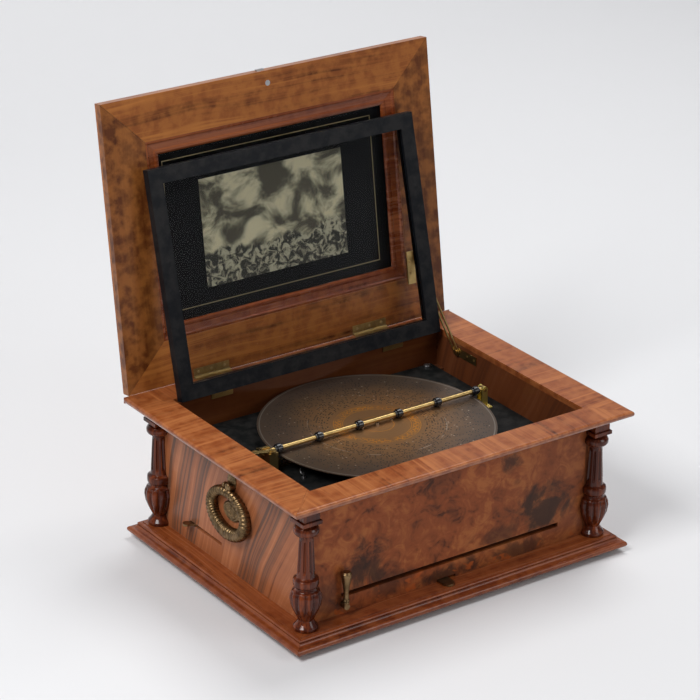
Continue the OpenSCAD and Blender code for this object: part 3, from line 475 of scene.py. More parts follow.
def tune_disc():
    """Dark bronze sheet: rows of small slots from a random value in each cell of a polar grid,
    fine turning marks, a few pale guide circles and a ring of ochre ornament near the centre."""
    material, tree, shader, place = new_material("tune_disc")
    centred = stretched(tree, place, (1, 1, 1), (0, 0, 0), tuple(-DISC_CENTRE))
    x, y, _ = split(tree, centred)
    radius = maths(tree, "SQRT", maths(tree, "ADD", maths(tree, "MULTIPLY", x, x),
                   maths(tree, "MULTIPLY", y, y)))
    angle = maths(tree, "ARCTAN2", y, x)
    track = maths(tree, "DIVIDE", radius, 0.0038)
    row = maths(tree, "FLOOR", track)
    across = maths(tree, "ABSOLUTE", maths(tree, "SUBTRACT", maths(tree, "FRACT", track), 0.5))
    offset = add(tree, "ShaderNodeTexWhiteNoise", {"W": row}, noise_dimensions="1D").outputs["Value"]
    step = maths(tree, "MULTIPLY_ADD", angle, 27.0, offset)
    cell = maths(tree, "FLOOR", step)
    along = maths(tree, "ABSOLUTE", maths(tree, "SUBTRACT", maths(tree, "FRACT", step), 0.5))
    chance = add(tree, "ShaderNodeTexWhiteNoise", {"Vector": joined(tree, row, cell, 0.0)},
                 noise_dimensions="3D").outputs["Value"]
    length = maths(tree, "DIVIDE", 0.03, radius)
    slot = maths(tree, "MULTIPLY", maths(tree, "LESS_THAN", across, 0.26),
                 maths(tree, "LESS_THAN", along, length))
    played = maths(tree, "MULTIPLY", ramp(tree, radius, 0.066, 0.07), ramp(tree, radius, 0.160, 0.156))
    # Painted highlight: a few slots in the played band get pale glints of light.
    painted_glint = maths(tree, "MULTIPLY", maths(tree, "MULTIPLY", slot, maths(tree, "LESS_THAN", chance, 0.02)), played)
    slot = maths(tree, "MULTIPLY", maths(tree, "MULTIPLY", slot, maths(tree, "GREATER_THAN", chance, 0.6)), played)
    cloud = noise(tree, centred, 8.0, 3.0, 0.5, 0.4)
    turning = noise(tree, joined(tree, maths(tree, "MULTIPLY", radius, 900.0), 0.0, 0.0), 1.0, 2.0)
    middle = maths(tree, "MULTIPLY_ADD", maths(tree, "SUBTRACT", cloud, 0.5), 0.10, radius)
    base = blend(tree, ramp(tree, middle, 0.06, 0.155), (0.36, 0.19, 0.08, 1), (0.115, 0.08, 0.058, 1))
    base = blend(tree, maths(tree, "MULTIPLY", ramp(tree, turning, 0.4, 0.7), 0.25), base, (0.16, 0.10, 0.06, 1))
    # The painted glints are laid in as pale colour.
    base = blend(tree, maths(tree, "MULTIPLY", painted_glint, 0.5), base, (0.6, 0.5, 0.38, 1))

    def circle(at, half, low, high):
        """A faint circle broken by noise."""
        near = ramp(tree, maths(tree, "ABSOLUTE", maths(tree, "SUBTRACT", radius, at)), half, half * 0.3)
        broken = ramp(tree, noise(tree, centred, 22.0, 2.0), low, high)
        return maths(tree, "MULTIPLY", near, broken)

    base = blend(tree, maths(tree, "MULTIPLY", circle(0.098, 0.0011, 0.46, 0.56), 0.6), base, (0.5, 0.43, 0.34, 1))
    base = blend(tree, maths(tree, "MULTIPLY", circle(0.1655, 0.0012, 0.2, 0.3), 0.45), base, (0.4, 0.36, 0.3, 1))
    petals = maths(tree, "SINE", maths(tree, "MULTIPLY", angle, 36.0))
    wave = maths(tree, "MULTIPLY_ADD", petals, 0.0022, 0.055)
    ornament = ramp(tree, maths(tree, "ABSOLUTE", maths(tree, "SUBTRACT", radius, wave)), 0.0014, 0.0007)
    for at in (0.0485, 0.0615, 0.024):
        ornament = maths(tree, "MAXIMUM", ornament, circle(at, 0.0007, 0.3, 0.45))
    marks = maths(tree, "MULTIPLY", maths(tree, "LESS_THAN", across, 0.3),
                  maths(tree, "GREATER_THAN", chance, 0.35))
    marks = maths(tree, "MULTIPLY", marks, maths(tree, "LESS_THAN", along, 0.34))
    zone = maths(tree, "MULTIPLY", ramp(tree, radius, 0.0495, 0.0505), ramp(tree, radius, 0.0605, 0.0595))
    ornament = maths(tree, "MAXIMUM", ornament, maths(tree, "MULTIPLY", marks, zone))
    broken = ramp(tree, noise(tree, centred, 30.0, 3.0), 0.3, 0.5)
    base = blend(tree, maths(tree, "MULTIPLY", maths(tree, "MULTIPLY", ornament, broken), 0.85), base,
                 (0.75, 0.30, 0.035, 1))
    base = blend(tree, maths(tree, "MULTIPLY", slot, 0.92), base, (0.004, 0.003, 0.003, 1))
    set_colour(tree, shader, base)
    tree.links.new(maths(tree, "MULTIPLY_ADD", slot, -0.7, 0.8), shader.inputs["Metallic"])
    tree.links.new(maths(tree, "MULTIPLY_ADD", cloud, 0.2, 0.24), shader.inputs["Roughness"])
    height = maths(tree, "MULTIPLY_ADD", turning, 0.15, maths(tree, "MULTIPLY", slot, -1.0))
    bumped(tree, shader, height, 0.5, 0.0004)
    return material


def lid_plane(tree, place):
    """Object coordinates turned so that x runs across the open lid and y up it from the hinge."""
    moved = stretched(tree, place, (1, 1, 1), (0, 0, 0), tuple(-HINGE))
    return stretched(tree, moved, (1, 1, 1), (-(math.pi / 2 - LID_LEAN), 0, 0))


def framed_mat():
    """Black mat with a thin gilt line all round."""
    material, tree, shader, place = new_material("framed_mat")
    x, y, _ = split(tree, lid_plane(tree, place))
    side = maths(tree, "SUBTRACT", maths(tree, "ABSOLUTE", maths(tree, "ADD", x, 0.006)), 0.177)
    end = maths(tree, "SUBTRACT", maths(tree, "ABSOLUTE", maths(tree, "SUBTRACT", y, 0.21)), 0.109)
    edge = maths(tree, "MAXIMUM", side, end)
    line = ramp(tree, maths(tree, "ABSOLUTE", edge), 0.0009, 0.0004)
    fleck = noise(tree, place, 200.0, 3.0)
    set_colour(tree, shader, blend(tree, maths(tree, "MULTIPLY", line, maths(tree, "MULTIPLY_ADD",
               fleck, 0.5, 0.45)), (0.003, 0.003, 0.004, 1), (0.45, 0.36, 0.18, 1)))
    shader.inputs["Roughness"].default_value = 0.4
    shader.inputs["Specular IOR Level"].default_value = 0.1
    bumped(tree, shader, fleck, 0.05, 0.0001)
    return material


def sepia_print():
    """A sepia print of nothing in particular: soft clouds over low hills and paper grain."""
    material, tree, shader, place = new_material("sepia_print")
    flat = lid_plane(tree, place)
    x, y, _ = split(tree, flat)
    cloud = noise(tree, stretched(tree, flat, (17, 21, 1)), 1.0, 4.0, 0.58, 0.5)
    ridge = maths(tree, "MULTIPLY_ADD", noise(tree, joined(tree, maths(tree, "MULTIPLY", x, 16.0), 3.0, 0.0),
                  1.0, 4.0), 0.08, 0.135)
    land = ramp(tree, maths(tree, "SUBTRACT", ridge, y), -0.002, 0.006)
    leaf = noise(tree, stretched(tree, flat, (75, 75, 1)), 1.0, 4.0, 0.65, 1.0)
    sky = blend(tree, ramp(tree, cloud, 0.40, 0.60), (0.075, 0.062, 0.036, 1), (0.76, 0.68, 0.44, 1))
    ground = blend(tree, ramp(tree, leaf, 0.44, 0.60), (0.02, 0.017, 0.010, 1), (0.55, 0.50, 0.34, 1))
    picture = blend(tree, land, sky, ground)
    grain = noise(tree, place, 1500.0, 2.0)
    set_colour(tree, shader, blend(tree, maths(tree, "MULTIPLY", grain, 0.08), picture,
               (0.3, 0.27, 0.19, 1)))
    shader.inputs["Roughness"].default_value = 0.6
    return material


def make_finishes():
    """Every finish, by name."""
    lean = -(math.pi / 2 - LID_LEAN)
    half = (RIM_HIGH - RIM_LOW) / 2
    lid_length = 0.418
    lid_middle = HINGE[1] * math.cos(lean) - HINGE[2] * math.sin(lean) + lid_length / 2
    upright = (0, math.pi / 2, 0)
    return {
        "rim": mitred_wood("rim_walnut", WALNUT_PALE, (half[0], half[1]), band=30.0, curl=0.1,
                           cross=True, edge=(RIM_HIGH[2] - 0.0035, RIM_HIGH[2] - 0.0015,
                           (0.20, 0.05, 0.014, 1))),
        "plinth": mitred_wood("plinth_walnut", RED, (0.283, 0.218), band=26.0, curl=0.06,
                              gloss=0.2, coat=0.35),
        # The lid's side rails carry painted shade.
        "lid": mitred_wood("lid_walnut", WALNUT, (0.2765, lid_length / 2), lean=lean,
                           centre=(0, -lid_middle, 0), band=30.0, curl=0.12, painted_side_shade=0.72),
        "moulding": wood("moulding_mahogany", RED, band=30.0, gloss=0.22, coat=0.3),
        "left": striped_side("side_walnut_left", -1),
        "right": striped_side("side_walnut_right", 1),
        "back": wood("back_walnut", WALNUT, inner=(1, 0.1785, -1)),
        "lid_back": wood("lid_back_walnut", WALNUT, (0, 0, 0), (0.2, 0.1, 0.1), band=16.0, sway=0.06),
        "inside": wood("inside_walnut", {"Dark": (0.03, 0.009, 0.004, 1), "Middle": (0.09, 0.028, 0.01, 1),
                       "Light": (0.15, 0.05, 0.02, 1)}, gloss=0.5, coat=0.0),
        "front": burl_front(),
        "column": wood("turned_mahogany", {"Dark": (0.020, 0.004, 0.002, 1),
                       "Middle": (0.062, 0.010, 0.003, 1), "Light": (0.20, 0.042, 0.011, 1)}, upright,
                       band=40.0, curl=0.05, gloss=0.13, coat=0.2),
        "feet": wood("feet_dark", {"Dark": (0.008, 0.005, 0.003, 1), "Middle": (0.02, 0.01, 0.007, 1),
                     "Light": (0.04, 0.02, 0.012, 1)}, gloss=0.6, coat=0.0),
        "black_frame": black_paint("black_frame", (0.005, 0.006, 0.008, 1), 0.32, 0.12),
        "japan": black_paint("japanned_iron", (0.004, 0.005, 0.005, 1), 0.45, 0.1),
        "roller": black_paint("black_roller", (0.006, 0.006, 0.008, 1), 0.2, 0.5),
        "glass": clear_glass("window_glass"),
        "felt": felt("green_felt", (0.018, 0.045, 0.03, 1)),
        "disc": tune_disc(),
        "mat": framed_mat(),
        "print": sepia_print(),
        "brass": metal("aged_brass", (0.50, 0.35, 0.14, 1), (0.13, 0.08, 0.03, 1), 0.6),
        "dark_brass": metal("antique_brass", (0.27, 0.175, 0.085, 1), (0.035, 0.02, 0.009, 1), 0.8,
                            0.24, bump=0.5),
        "hinge_brass": metal("hinge_brass", (0.36, 0.24, 0.09, 1), (0.09, 0.05, 0.02, 1), 0.7, 0.3),
        # Polished brass for the bar post, made brighter than the other brass as a painted highlight where its face
        # catches the light.
        "painted_highlight_brass": metal("polished_brass_painted_highlight", (0.80, 0.66, 0.20, 1), (0.4, 0.28, 0.08, 1), 0.4, 0.3),
        "steel": metal("polished_steel", (0.52, 0.52, 0.53, 1), (0.15, 0.13, 0.11, 1), 0.4),
    }


FINISH_OF = {
    "rim": ["top_rim"], "plinth": ["plinth"], "lid": ["lid_rails"], "moulding": ["lid_moulding"],
    "left": ["left_panel"], "right": ["right_panel"], "back": ["back_panel"],
    "lid_back": ["lid_board"], "front": ["front_panel"], "column": ["columns", "crank_grip"],
    "inside": ["base_board", "bearers", "storage_boards"], "feet": ["feet"],
    "black_frame": ["glass_frame"], "japan": ["bedplate"],
    "roller": ["rollers_left", "rollers_right"], "glass": ["glass_pane", "lid_glass"],
    "felt": ["slot_felt"], "disc": ["disc"], "mat": ["lid_mat"], "print": ["lid_print"],
    "brass": ["motor_frame", "governor_cocks", "comb_blocks", "star_gantry", "crank_bush",
              "latch_post", "stay_pin", "spring_barrel", "governor_fan", "pressure_rod",
              "rod_latch", "stay_bracket", "stay_arm"],
    "hinge_brass": ["lid_hinge_leaves", "case_hinge_leaves", "pane_wall_leaves",
                    "pane_frame_leaves"],
    # The bar post gets the brighter brass, a painted highlight.
    "painted_highlight_brass": ["bar_post"],
    "dark_brass": ["handle_plates", "left_ring", "right_ring", "start_lever", "speed_tab",
                   "side_lever"],
    "steel": ["movement_screws", "combs", "star_wheels", "turntable", "mainspring",
              "barrel_arbor", "train_arbor", "governor_worm", "crank_shaft", "wire_hook",
              "lid_catch"],
}


def coat_node(name, material):
    """Gives a CAD node its finish."""
    node = frame["nodes"][name]
    node.data.materials.clear()
    node.data.materials.append(material)


# ---- fine pieces ----

def grid_faces(rows, columns, wrap_rows=False, wrap_columns=False):
    """Quads between neighbouring grid points, wrapped round where asked."""
    r = np.arange(rows if wrap_rows else rows - 1)
    c = np.arange(columns if wrap_columns else columns - 1)
    r, c = np.meshgrid(r, c, indexing="ij")
    r1, c1 = (r + 1) % rows, (c + 1) % columns
    return np.stack([r * columns + c, r * columns + c1, r1 * columns + c1, r1 * columns + c],
                    -1).reshape(-1, 4)


def make_object(name, parts, material):
    """One object at the origin from a list of closed or open grids: points, wraps and smoothness.
    A grid that wraps along its columns only is closed at both ends by a fan to the ring's middle."""
    points, faces, smooth, start = [], [], [], 0
    for grid, wrap_rows, wrap_columns, soft in parts:
        rows, columns = grid.shape[:2]
        points.append(grid.reshape(-1, 3))
        quads = grid_faces(rows, columns, wrap_rows, wrap_columns) + start
        faces.append(quads)
        smooth.append(np.full(len(quads), soft))
        start += rows * columns
        if wrap_columns and not wrap_rows:
            base = start - rows * columns
            for row, flip in ((0, True), (rows - 1, False)):
                ring = base + row * columns + np.arange(columns)
                points.append(grid[row].mean(0)[None, :])
                after = np.roll(ring, -1)
                tip = np.full(columns, start)
                fan = np.stack([after, ring, tip] if flip else [ring, after, tip], -1)
                faces.append(fan)
                smooth.append(np.full(columns, soft))
                start += 1
    mesh = bpy.data.meshes.new(name)
    points = np.concatenate(points)
    sizes = np.concatenate([np.full(len(f), f.shape[1]) for f in faces])
    mesh.vertices.add(len(points))
    mesh.vertices.foreach_set("co", points.astype(np.float32).ravel())
    mesh.loops.add(int(sizes.sum()))
    mesh.loops.foreach_set("vertex_index", np.concatenate([f.ravel() for f in faces]).astype(np.int32))
    mesh.polygons.add(len(sizes))
    mesh.polygons.foreach_set("loop_start", np.concatenate([[0], np.cumsum(sizes)[:-1]]).astype(np.int32))
    mesh.polygons.foreach_set("use_smooth", np.concatenate(smooth))
    mesh.update(calc_edges=True)
    mesh.validate()
    if material:
        mesh.materials.append(material)
    piece = bpy.data.objects.new(name, mesh)
    bpy.context.collection.objects.link(piece)
    return piece


def mirrored(parts):
    """The same grids on the other side of x = 0, with their columns turned round."""
    return [(grid[:, ::-1] * np.array((-1, 1, 1)), a, b, soft) for grid, a, b, soft in parts]


COLUMN_PROFILE = np.array([
    (0, 16.4), (2, 17), (5, 17), (6.6, 15.6), (9.6, 13.2), (14.2, 10.8), (18, 12.4), (26, 16.6),
    (36, 20.4), (46, 22), (52, 21.4), (56, 19.6), (58, 18.8), (60, 15.4), (63.6, 14.3), (65, 16.2),
    (67, 17.3), (71, 17.7), (74, 17.5), (76, 17), (77.6, 14.4), (79, 12.6), (83, 12.2), (137, 9.4),
    (138, 10.4), (139, 10.6), (140, 10.4), (141, 9.6), (141.6, 13), (142.4, 15.8), (145, 17.3),
    (148, 17.6), (150, 17.3), (153, 15.6), (156, 11), (158, 14)])


def smooth_step(value, low, high):
    """Zero below low, one above high, with a soft S between."""
    t = np.clip((value - low) / (high - low), 0, 1)
    return t * t * (3 - 2 * t)


def turned_column(s, x, y, inward):
    """A column's surface: at height h and angle a its radius is the turned profile, pinched by
    1 - |cos(n a / 2)| between the lobes of the bulb and by hollow flutes up the shaft. Towards the
    case's inside it is held back within the panels."""
    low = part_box("columns")[0][2] / MM
    h = np.unique(np.concatenate([np.linspace(0, 158, 150), COLUMN_PROFILE[:, 0]]))
    a = np.linspace(0, 2 * np.pi, 160, endpoint=False)
    radius = np.interp(h, COLUMN_PROFILE[:, 0], COLUMN_PROFILE[:, 1])[:, None] * np.ones_like(a)
    bulb = (smooth_step(h, 15, 27) * (1 - smooth_step(h, 55, 59)))[:, None]
    lobe = 1 - np.abs(np.cos(s.lobes * a / 2)) ** 0.7
    radius = radius * (1 - s.lobe_depth * bulb * lobe)
    shaft = (smooth_step(h, 84, 90) * (1 - smooth_step(h, 130, 135)))[:, None]
    flute = np.clip(np.cos(s.flutes * a), 0, 1) ** 0.8
    radius = radius * (1 - s.flute_depth * shaft * flute)
    ca, sa = np.cos(a), np.sin(a)
    inside = (ca * inward[0] > 0.2) & (sa * inward[1] > 0.2)
    radius = np.where(inside[None, :], np.minimum(radius, 18.5), radius)
    grid = np.stack([x + radius * ca, y + radius * sa, low + h[:, None] * np.ones_like(a)], -1) * MM
    blocks = []
    square = 1 / np.maximum(np.abs(ca), np.abs(sa))
    for half, z0, z1 in ((15.4, 158, 164), (12.9, 164, 184.9)):
        rows = [(0.2, z0), (half - 0.5, z0), (half, z0 + 0.5), (half, z1 - 0.5), (half - 0.5, z1), (0.2, z1)]
        rows = rows[1:-1]
        reach = np.array([r for r, _ in rows])[:, None] * square
        blocks.append((np.stack([x + reach * ca, y + reach * sa,
                       low + np.array([z for _, z in rows])[:, None] * np.ones_like(a)], -1) * MM,
                       False, True, False))
    return [(grid, False, True, True), *blocks]


def swept(path, frames, section, closed=False):
    """Carries a section along a path: each row is the path point plus the section's two numbers
    times that point's two directions."""
    side, up = frames
    return (path[:, None, :] + section[..., 0:1] * side[:, None, :] + section[..., 1:2] * up[:, None, :],
            closed, True, True)


def wreath(s):
    """A drop handle hanging on the left panel: an oval path y = 42.5 cos t, z = 30.5 sin t with a
    round section that swells to the bottom, carved with overlapping leaves (the absolute sine of
    turns along the path, skewed across it) and fine ribs; a ferrule joins it to its eye."""
    t = np.linspace(0, 2 * np.pi, 360, endpoint=False)
    phi = np.linspace(0, 2 * np.pi, 40, endpoint=False)
    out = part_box("left_ring")
    x = (out[0][0] + out[1][0]) / 2 / MM
    path = np.stack([np.full_like(t, x), 3 + 42.0 * np.cos(t), 120 + 30.5 * np.sin(t)], -1)
    tangent = np.stack([0 * t, -42.0 * np.sin(t), 30.5 * np.cos(t)], -1)
    tangent /= np.linalg.norm(tangent, axis=1)[:, None]
    outward = np.cross(tangent, np.array((1.0, 0, 0)))
    sideways = np.tile(np.array((-1.0, 0, 0)), (len(t), 1))
    size = 6.3 + 2.2 * (1 - np.sin(t)) / 2
    skew = s.leaves * t[:, None] / 2 + 0.9 * np.cos(phi)[None, :] * np.sign(np.cos(t))[:, None]
    leaf = np.abs(np.sin(skew)) ** 0.6
    rib = np.cos(4 * s.leaves * t)[:, None] * np.cos(5 * phi)[None, :]
    radius = size[:, None] * (0.84 + s.carving * leaf + 0.05 * rib)
    section = np.stack([radius * np.cos(phi), np.clip(radius * np.sin(phi), -8, 8)], -1)
    section = np.stack([section[..., 0], np.clip(section[..., 1], -6.2, 8)], -1)
    ring = swept(path, (outward, sideways), section, True)
    rows = np.array([(165.2, 0.4), (165.0, 2.6), (163, 4.4), (160, 5.2), (156.5, 4.6), (154, 5.0),
                     (151, 6.4), (147, 6.6), (144.5, 5.0), (143.6, 0.5)])
    stem = np.stack([x + 0.75 * rows[:, 1:2] * np.cos(phi), 3 + rows[:, 1:2] * 1.05 * np.sin(phi),
                     rows[:, 0:1] * np.ones_like(phi)], -1)
    ring_grid = ring[0] * MM
    return [(ring_grid[:, ::-1], True, True, True), (stem[::-1] * MM, False, True, True)]


def relief(y0, z0, half_y, half_z, height, pattern, rings=26, columns=96):
    """A raised oval on the left panel: y and z go round an ellipse shrunk by rho, and the surface
    stands out by height times a dome of rho plus a pattern of rho and the angle."""
    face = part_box("left_panel")[0][0] / MM
    rho = np.concatenate([[1.0, 1.0], np.linspace(0.99, 0.03, rings)])
    a = np.linspace(0, 2 * np.pi, columns, endpoint=False)
    rise = height * np.sqrt(np.clip(1 - (rho * 0.96) ** 2, 0, 1))[:, None] + pattern(rho[:, None], a[None, :])
    rise[0] = 0.05
    rise = np.maximum(rise, 0.05)
    shrink = rho[:, None]
    grid = np.stack([face - rise, y0 + half_y * shrink * np.cos(a), z0 + half_z * shrink * np.sin(a)], -1)
    return (grid[:, ::-1] * MM, False, True, True)


def handle_relief(s):
    """The fixed parts of a handle: a beaded oval medallion with a pebbled middle, a leafy
    backplate, a rosette above it, and two lugs that hold the ring's pin."""
    def medal(rho, a):
        """Beads round the rim, pebbles within."""
        bead = 0.9 * np.exp(-((rho - 0.88) / 0.06) ** 2) * np.abs(np.cos(22 * a))
        groove = -0.8 * np.exp(-((rho - 0.74) / 0.03) ** 2)
        pebble = 0.55 * np.cos(26 * rho + 3 * np.sin(3 * a)) * np.cos(9 * a + 6 * rho) * (rho < 0.7)
        return bead + groove + pebble + 0 * a

    def leaf(rho, a):
        """Veins that fan from the middle."""
        return 0.5 * np.abs(np.cos(7 * a)) * rho + 0.25 * np.cos(18 * rho) + 0 * a

    def rose(rho, a):
        """Petals round a button."""
        return 1.1 * np.abs(np.cos(3 * a)) * smooth_step(rho, 0.3, 0.6) * (1 - smooth_step(rho, 0.9, 1.0)) + 1.4 * (rho < 0.25)

    parts = [relief(3, 120, 20.5, 14.5, 4.2, medal), relief(3, 166, 10.5, 12, 2.6, leaf),
             relief(3, 181, 9.0, 8.0, 4.2, rose), relief(3, 191, 3.6, 4.4, 3.0, leaf),
             relief(3, 142, 5, 12, 1.6, leaf)]
    phi = np.linspace(0, 2 * np.pi, 32, endpoint=False)
    x = np.mean([c[0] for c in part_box("left_ring")]) / MM
    for y0, y1 in ((-6.0, -3.0), (9.0, 12.0)):
        rows = np.array([(y0, 0.4), (y0, 3.6), (y0 + 0.5, 4.1), (y1 - 0.5, 4.1), (y1, 3.6), (y1, 0.4)])
        grid = np.stack([x + rows[:, 1:2] * np.cos(phi), rows[:, 0:1] * np.ones_like(phi),
                         160 + rows[:, 1:2] * np.sin(phi)], -1)
        parts.append((grid[:, ::-1] * MM, False, True, True))
        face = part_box("left_panel")[0][0] / MM
        middle = (y0 + y1) / 2
        xs = np.linspace(face + 0.1, x, 6)[:, None]
        arm = np.stack([xs * np.ones_like(phi), middle + 1.4 * np.sin(phi) + 0 * xs,
                        160 + (3.4 + 0.5 * np.abs(xs - x) / 7) * np.cos(phi)], -1)
        parts.append((arm * MM, False, True, True))
    return parts


def screw_head(centre, normal, radius=2.2, height=0.9):
    """A domed screw head with a slot: the dome is a quarter circle of rings, pressed down where
    it crosses the slot."""
    normal = np.array(normal, float) / np.linalg.norm(normal)
    side = np.cross(normal, (0.31, 0.2, 0.93))
    side /= np.linalg.norm(side)
    other = np.cross(normal, side)
    rho = np.concatenate([[1.0], np.linspace(1.0, 0.04, 8)])
    a = np.linspace(0, 2 * np.pi, 24, endpoint=False)
    rise = height * np.sqrt(1 - (rho * 0.9) ** 2)[:, None] * np.ones_like(a)
    slot = np.abs(rho[:, None] * np.sin(a)) < 0.2
    rise = np.where(slot, rise * 0.35, rise)
    rise[0] = 0.0
    flat = radius * rho[:, None, None] * (np.cos(a)[None, :, None] * side + np.sin(a)[None, :, None] * other)
    return ((np.array(centre, float) + flat + rise[..., None] * normal) * MM, False, True, True)


def on_lid(x, v, n):
    """A point of the shut lid, given across, towards the front and into the case, carried to the
    open lid; millimetres."""
    turn = math.radians(98.5)
    y, z = -v, -n
    return (x, HINGE[1] / MM + y * math.cos(turn) + (-z) * math.sin(turn),
            HINGE[2] / MM - y * math.sin(turn) + (-z) * math.cos(turn))


class ColumnSettings(bpy.types.PropertyGroup):
    """The turned corner columns."""
    lobes: bpy.props.IntProperty(name="Lobes", description="Lobes round the bulb", default=10)
    lobe_depth: bpy.props.FloatProperty(name="Lobe depth", description="Depth between lobes, of the radius",
                                        default=0.17)
    flutes: bpy.props.IntProperty(name="Flutes", description="Flutes round the shaft", default=8)
    flute_depth: bpy.props.FloatProperty(name="Flute depth", description="Flute depth, of the radius",
                                         default=0.22)


class HandleSettings(bpy.types.PropertyGroup):
    """The wreath handles."""
    leaves: bpy.props.IntProperty(name="Leaves", description="Leaves round the wreath", default=40)
    carving: bpy.props.FloatProperty(name="Carving", description="Depth of the leaves, of the radius",
                                     default=0.3)


class MUSICBOX_OT_columns(bpy.types.Operator):
    """Turn the four lobed and fluted corner columns"""
    bl_idname = "musicbox.columns"
    bl_label = "Columns"

    def execute(self, context):
        s = context.scene.musicbox_columns
        parts = []
        for x in (-246, 246):
            for y, inward in ((-182, 1), (187, -1)):
                parts += turned_column(s, x, y, (-np.sign(x), inward))
        piece = make_object("turned_columns", parts, bpy.data.materials["turned_mahogany"])
        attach(piece, "case")
        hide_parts("columns")
        return {"FINISHED"}


class MUSICBOX_OT_handles(bpy.types.Operator):
    """Carve the wreath handles and their plates"""
    bl_idname = "musicbox.handles"
    bl_label = "Handles"

    def execute(self, context):
        s = context.scene.musicbox_handles
        finish = bpy.data.materials["antique_brass"]
        left = make_object("left_wreath", wreath(s), finish)
        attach(left, "left_handle")
        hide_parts("left_ring")
        right = make_object("right_wreath", mirrored(wreath(s)), finish)
        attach(right, "right_handle")
        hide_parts("right_ring")
        plates = make_object("handle_relief", handle_relief(s) + mirrored(handle_relief(s)), finish)
        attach(plates, "case")
        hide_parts("handle_plates")
        return {"FINISHED"}


class MUSICBOX_OT_screws(bpy.types.Operator):
    """Set the small screws in the hinges and the stay"""
    bl_idname = "musicbox.screws"
    bl_label = "Screws"

    def execute(self, context):
        turn = math.radians(98.5)
        inward = (0, -math.sin(turn), -math.cos(turn))
        heads = [screw_head(on_lid(x + dx, 8.5, 0.35), inward, 2.0, 0.7)
                 for x in (-138, 138) for dx in (-22, 0, 22)]
        heads += [screw_head(on_lid(218, v, -1.15), inward, 2.2, 0.8) for v in (72, 90)]
        piece = make_object("lid_screws", heads, bpy.data.materials["aged_brass"])
        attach(piece, "lid")
        fixed = [screw_head((229.6, y, 199), (-1, 0, 0), 2.2, 0.8) for y in (82, 98)]
        fixed += [screw_head((x, y, 168 + 2.35), (0, 0, 1), 2.0, 0.9) for x in (180.5, 191.5) for y in (-6.5, 12.5)]
        case = make_object("case_screws", fixed, bpy.data.materials["aged_brass"])
        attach(case, "case")
        return {"FINISHED"}


# ---- sizes and colours a user would change ----

class StageSettings(bpy.types.PropertyGroup):
    """The camera, lamps and floor."""
    azimuth: bpy.props.FloatProperty(name="Azimuth", description="Camera heading", unit="ROTATION",
                                     default=math.radians(35.68))
    elevation: bpy.props.FloatProperty(name="Elevation", description="Camera tilt down",
                                       unit="ROTATION", default=math.radians(23.54))
    roll: bpy.props.FloatProperty(name="Roll", description="Camera roll", unit="ROTATION",
                                  default=math.radians(0.89))
    distance: bpy.props.FloatProperty(name="Distance", description="Camera to object",
                                      unit="LENGTH", default=4.1197)
    right: bpy.props.FloatProperty(name="Right", description="Object's shift in view, sideways",
                                   unit="LENGTH", default=0.01733)
    up: bpy.props.FloatProperty(name="Up", description="Object's shift in view, upwards",
                                unit="LENGTH", default=-0.12849)
    focal: bpy.props.FloatProperty(name="Focal", description="Focal length over sensor width",
                                   default=2940.46 / 700)
    aim_x: bpy.props.FloatProperty(name="Aim x", description="Sensor centre, of its width",
                                   default=366.11 / 700)
    aim_y: bpy.props.FloatProperty(name="Aim y", description="Sensor centre, of its height",
                                   default=325.68 / 700)
    floor: bpy.props.FloatVectorProperty(name="Floor", description="Floor colour", subtype="COLOR",
                                         size=4, min=0, max=1, default=(0.80, 0.80, 0.81, 1))


class MUSICBOX_OT_finishes(bpy.types.Operator):
    """Put the wood, metal, glass, felt and paint finishes on the frame's parts"""
    bl_idname = "musicbox.finishes"
    bl_label = "Finishes"

    def execute(self, context):
        make_wood_group()
        make_burl_group()
        make_mitre_group()
        make_patina_group()
        make_wear_group()
        made = make_finishes()
        for finish, names in FINISH_OF.items():
            for name in names:
                coat_node(name, made[finish])
        return {"FINISHED"}


def add_lamp(name, place, target, size, power, tint=(1, 1, 1)):
    """A square soft lamp at a place, facing a target."""
    data = bpy.data.lights.new(name, "AREA")
    data.shape = "SQUARE"
    data.size = size
    data.energy = power
    data.color = tint
    lamp = bpy.data.objects.new(name, data)
    bpy.context.collection.objects.link(lamp)
    from mathutils import Vector
    lamp.location = place
    lamp.rotation_euler = (Vector(target) - Vector(place)).to_track_quat("-Z", "Y").to_euler()
    return lamp


def add_camera(s):
    """A camera at the given heading, tilt and roll, looking past the object's middle."""
    from mathutils import Matrix, Vector
    az, el, roll = s.azimuth, s.elevation, s.roll
    d = Vector((math.cos(el) * math.sin(az), math.cos(el) * math.cos(az), -math.sin(el)))
    r = d.cross(Vector((0, 0, 1))).normalized()
    u = r.cross(d)
    r2 = r * math.cos(roll) + u * math.sin(roll)
    u2 = u * math.cos(roll) - r * math.sin(roll)
    place = Vector((0, 0, 0.2)) - d * s.distance - r2 * s.right - u2 * s.up
    data = bpy.data.cameras.new("camera")
    data.sensor_width = 36
    data.lens = s.focal * 36
    data.shift_x = 0.5 - s.aim_x
    data.shift_y = s.aim_y - 0.5
    data.clip_end = 50
    camera = bpy.data.objects.new("camera", data)
    bpy.context.collection.objects.link(camera)
    turn = Matrix((r2, u2, -d)).transposed().to_4x4()
    camera.matrix_world = Matrix.Translation(place) @ turn
    bpy.context.scene.camera = camera


def curved_sheet(size, back, height, bend, steps):
    """A floor that turns up into a wall: y runs straight, then along a quarter circle of radius
    bend, then up; the sheet is as wide as size."""
    y_flat = np.linspace(-size, back - bend, 6)
    turn = np.linspace(0, math.pi / 2, steps)
    y = np.concatenate([y_flat, back - bend + bend * np.sin(turn[1:]), np.full(4, back)])
    z = np.concatenate([np.zeros(6), bend - bend * np.cos(turn[1:]), np.linspace(bend, height, 5)[1:]])
    x = np.linspace(-size, size, 5)
    grid = np.stack([np.broadcast_to(x[None, :], (len(y), 5)), np.broadcast_to(y[:, None], (len(y), 5)),
                     np.broadcast_to(z[:, None], (len(y), 5))], -1)
    return grid


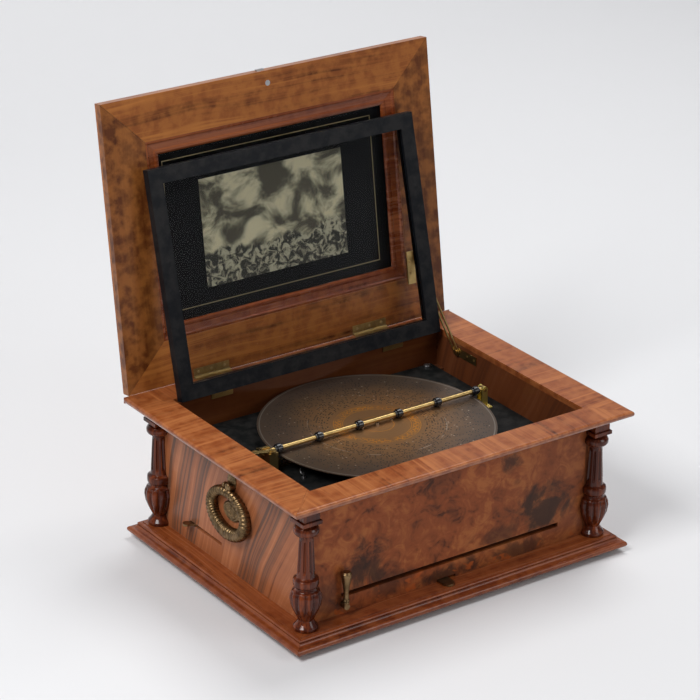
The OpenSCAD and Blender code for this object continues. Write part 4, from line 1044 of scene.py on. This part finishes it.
class MUSICBOX_OT_stage(bpy.types.Operator):
    """Set the camera, the soft lamps and the pale floor"""
    bl_idname = "musicbox.stage"
    bl_label = "Stage"

    def execute(self, context):
        scene = context.scene
        s = scene.musicbox_stage
        material, tree, shader, place = new_material("floor_paint")
        speck = noise(tree, place, 3.0, 2.0)
        set_colour(tree, shader, blend(tree, maths(tree, "MULTIPLY", speck, 0.05), tuple(s.floor),
                   (0.72, 0.72, 0.74, 1)))
        shader.inputs["Roughness"].default_value = 0.7
        grid = curved_sheet(5.0, 3.2, 4.5, 1.4, 20)
        floor = make_object("floor", [(grid, False, False, True)], material)
        add_lamp("key", (-2.4, -0.6, 3.0), (0, 0, 0.15), 1.4, 90)
        add_lamp("fill", (1.6, -3.0, 1.8), (0, 0, 0.2), 1.6, 26)
        add_lamp("top", (1.5, 1.0, 3.4), (0.6, 0.9, 0.1), 1.8, 62)
        world = bpy.data.worlds.new("room")
        scene.world = world
        world.use_nodes = True
        sky = world.node_tree.nodes["Background"]
        sky.inputs["Color"].default_value = (0.93, 0.95, 1.0, 1)
        sky.inputs["Strength"].default_value = 0.2
        scene.view_settings.view_transform = "Standard"
        add_camera(s)
        return {"FINISHED"}


class MUSICBOX_PT_panel(bpy.types.Panel):
    """Lists the steps that finish the music box"""
    bl_idname = "MUSICBOX_PT_panel"
    bl_label = "Music Box"
    bl_space_type = "VIEW_3D"
    bl_region_type = "UI"
    bl_category = "Music Box"

    def draw(self, context):
        for step in OPERATORS:
            self.layout.operator(step.bl_idname)


OPERATORS = [MUSICBOX_OT_finishes, MUSICBOX_OT_columns, MUSICBOX_OT_handles, MUSICBOX_OT_screws,
             MUSICBOX_OT_stage]
CLASSES = [StageSettings, ColumnSettings, HandleSettings, *OPERATORS, MUSICBOX_PT_panel]


def register():
    """Registers the add-on's classes and settings."""
    for item in CLASSES:
        bpy.utils.register_class(item)
    bpy.types.Scene.musicbox_stage = bpy.props.PointerProperty(type=StageSettings)
    bpy.types.Scene.musicbox_columns = bpy.props.PointerProperty(type=ColumnSettings)
    bpy.types.Scene.musicbox_handles = bpy.props.PointerProperty(type=HandleSettings)


def unregister():
    """Removes the add-on's classes and settings."""
    del bpy.types.Scene.musicbox_handles
    del bpy.types.Scene.musicbox_columns
    del bpy.types.Scene.musicbox_stage
    for item in reversed(CLASSES):
        bpy.utils.unregister_class(item)


def main():
    """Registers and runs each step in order."""
    register()
    for step in OPERATORS:
        area, name = step.bl_idname.split(".")
        if getattr(getattr(bpy.ops, area), name)() != {"FINISHED"}:
            raise RuntimeError(step.bl_idname)


if __name__ == "__main__":
    main()
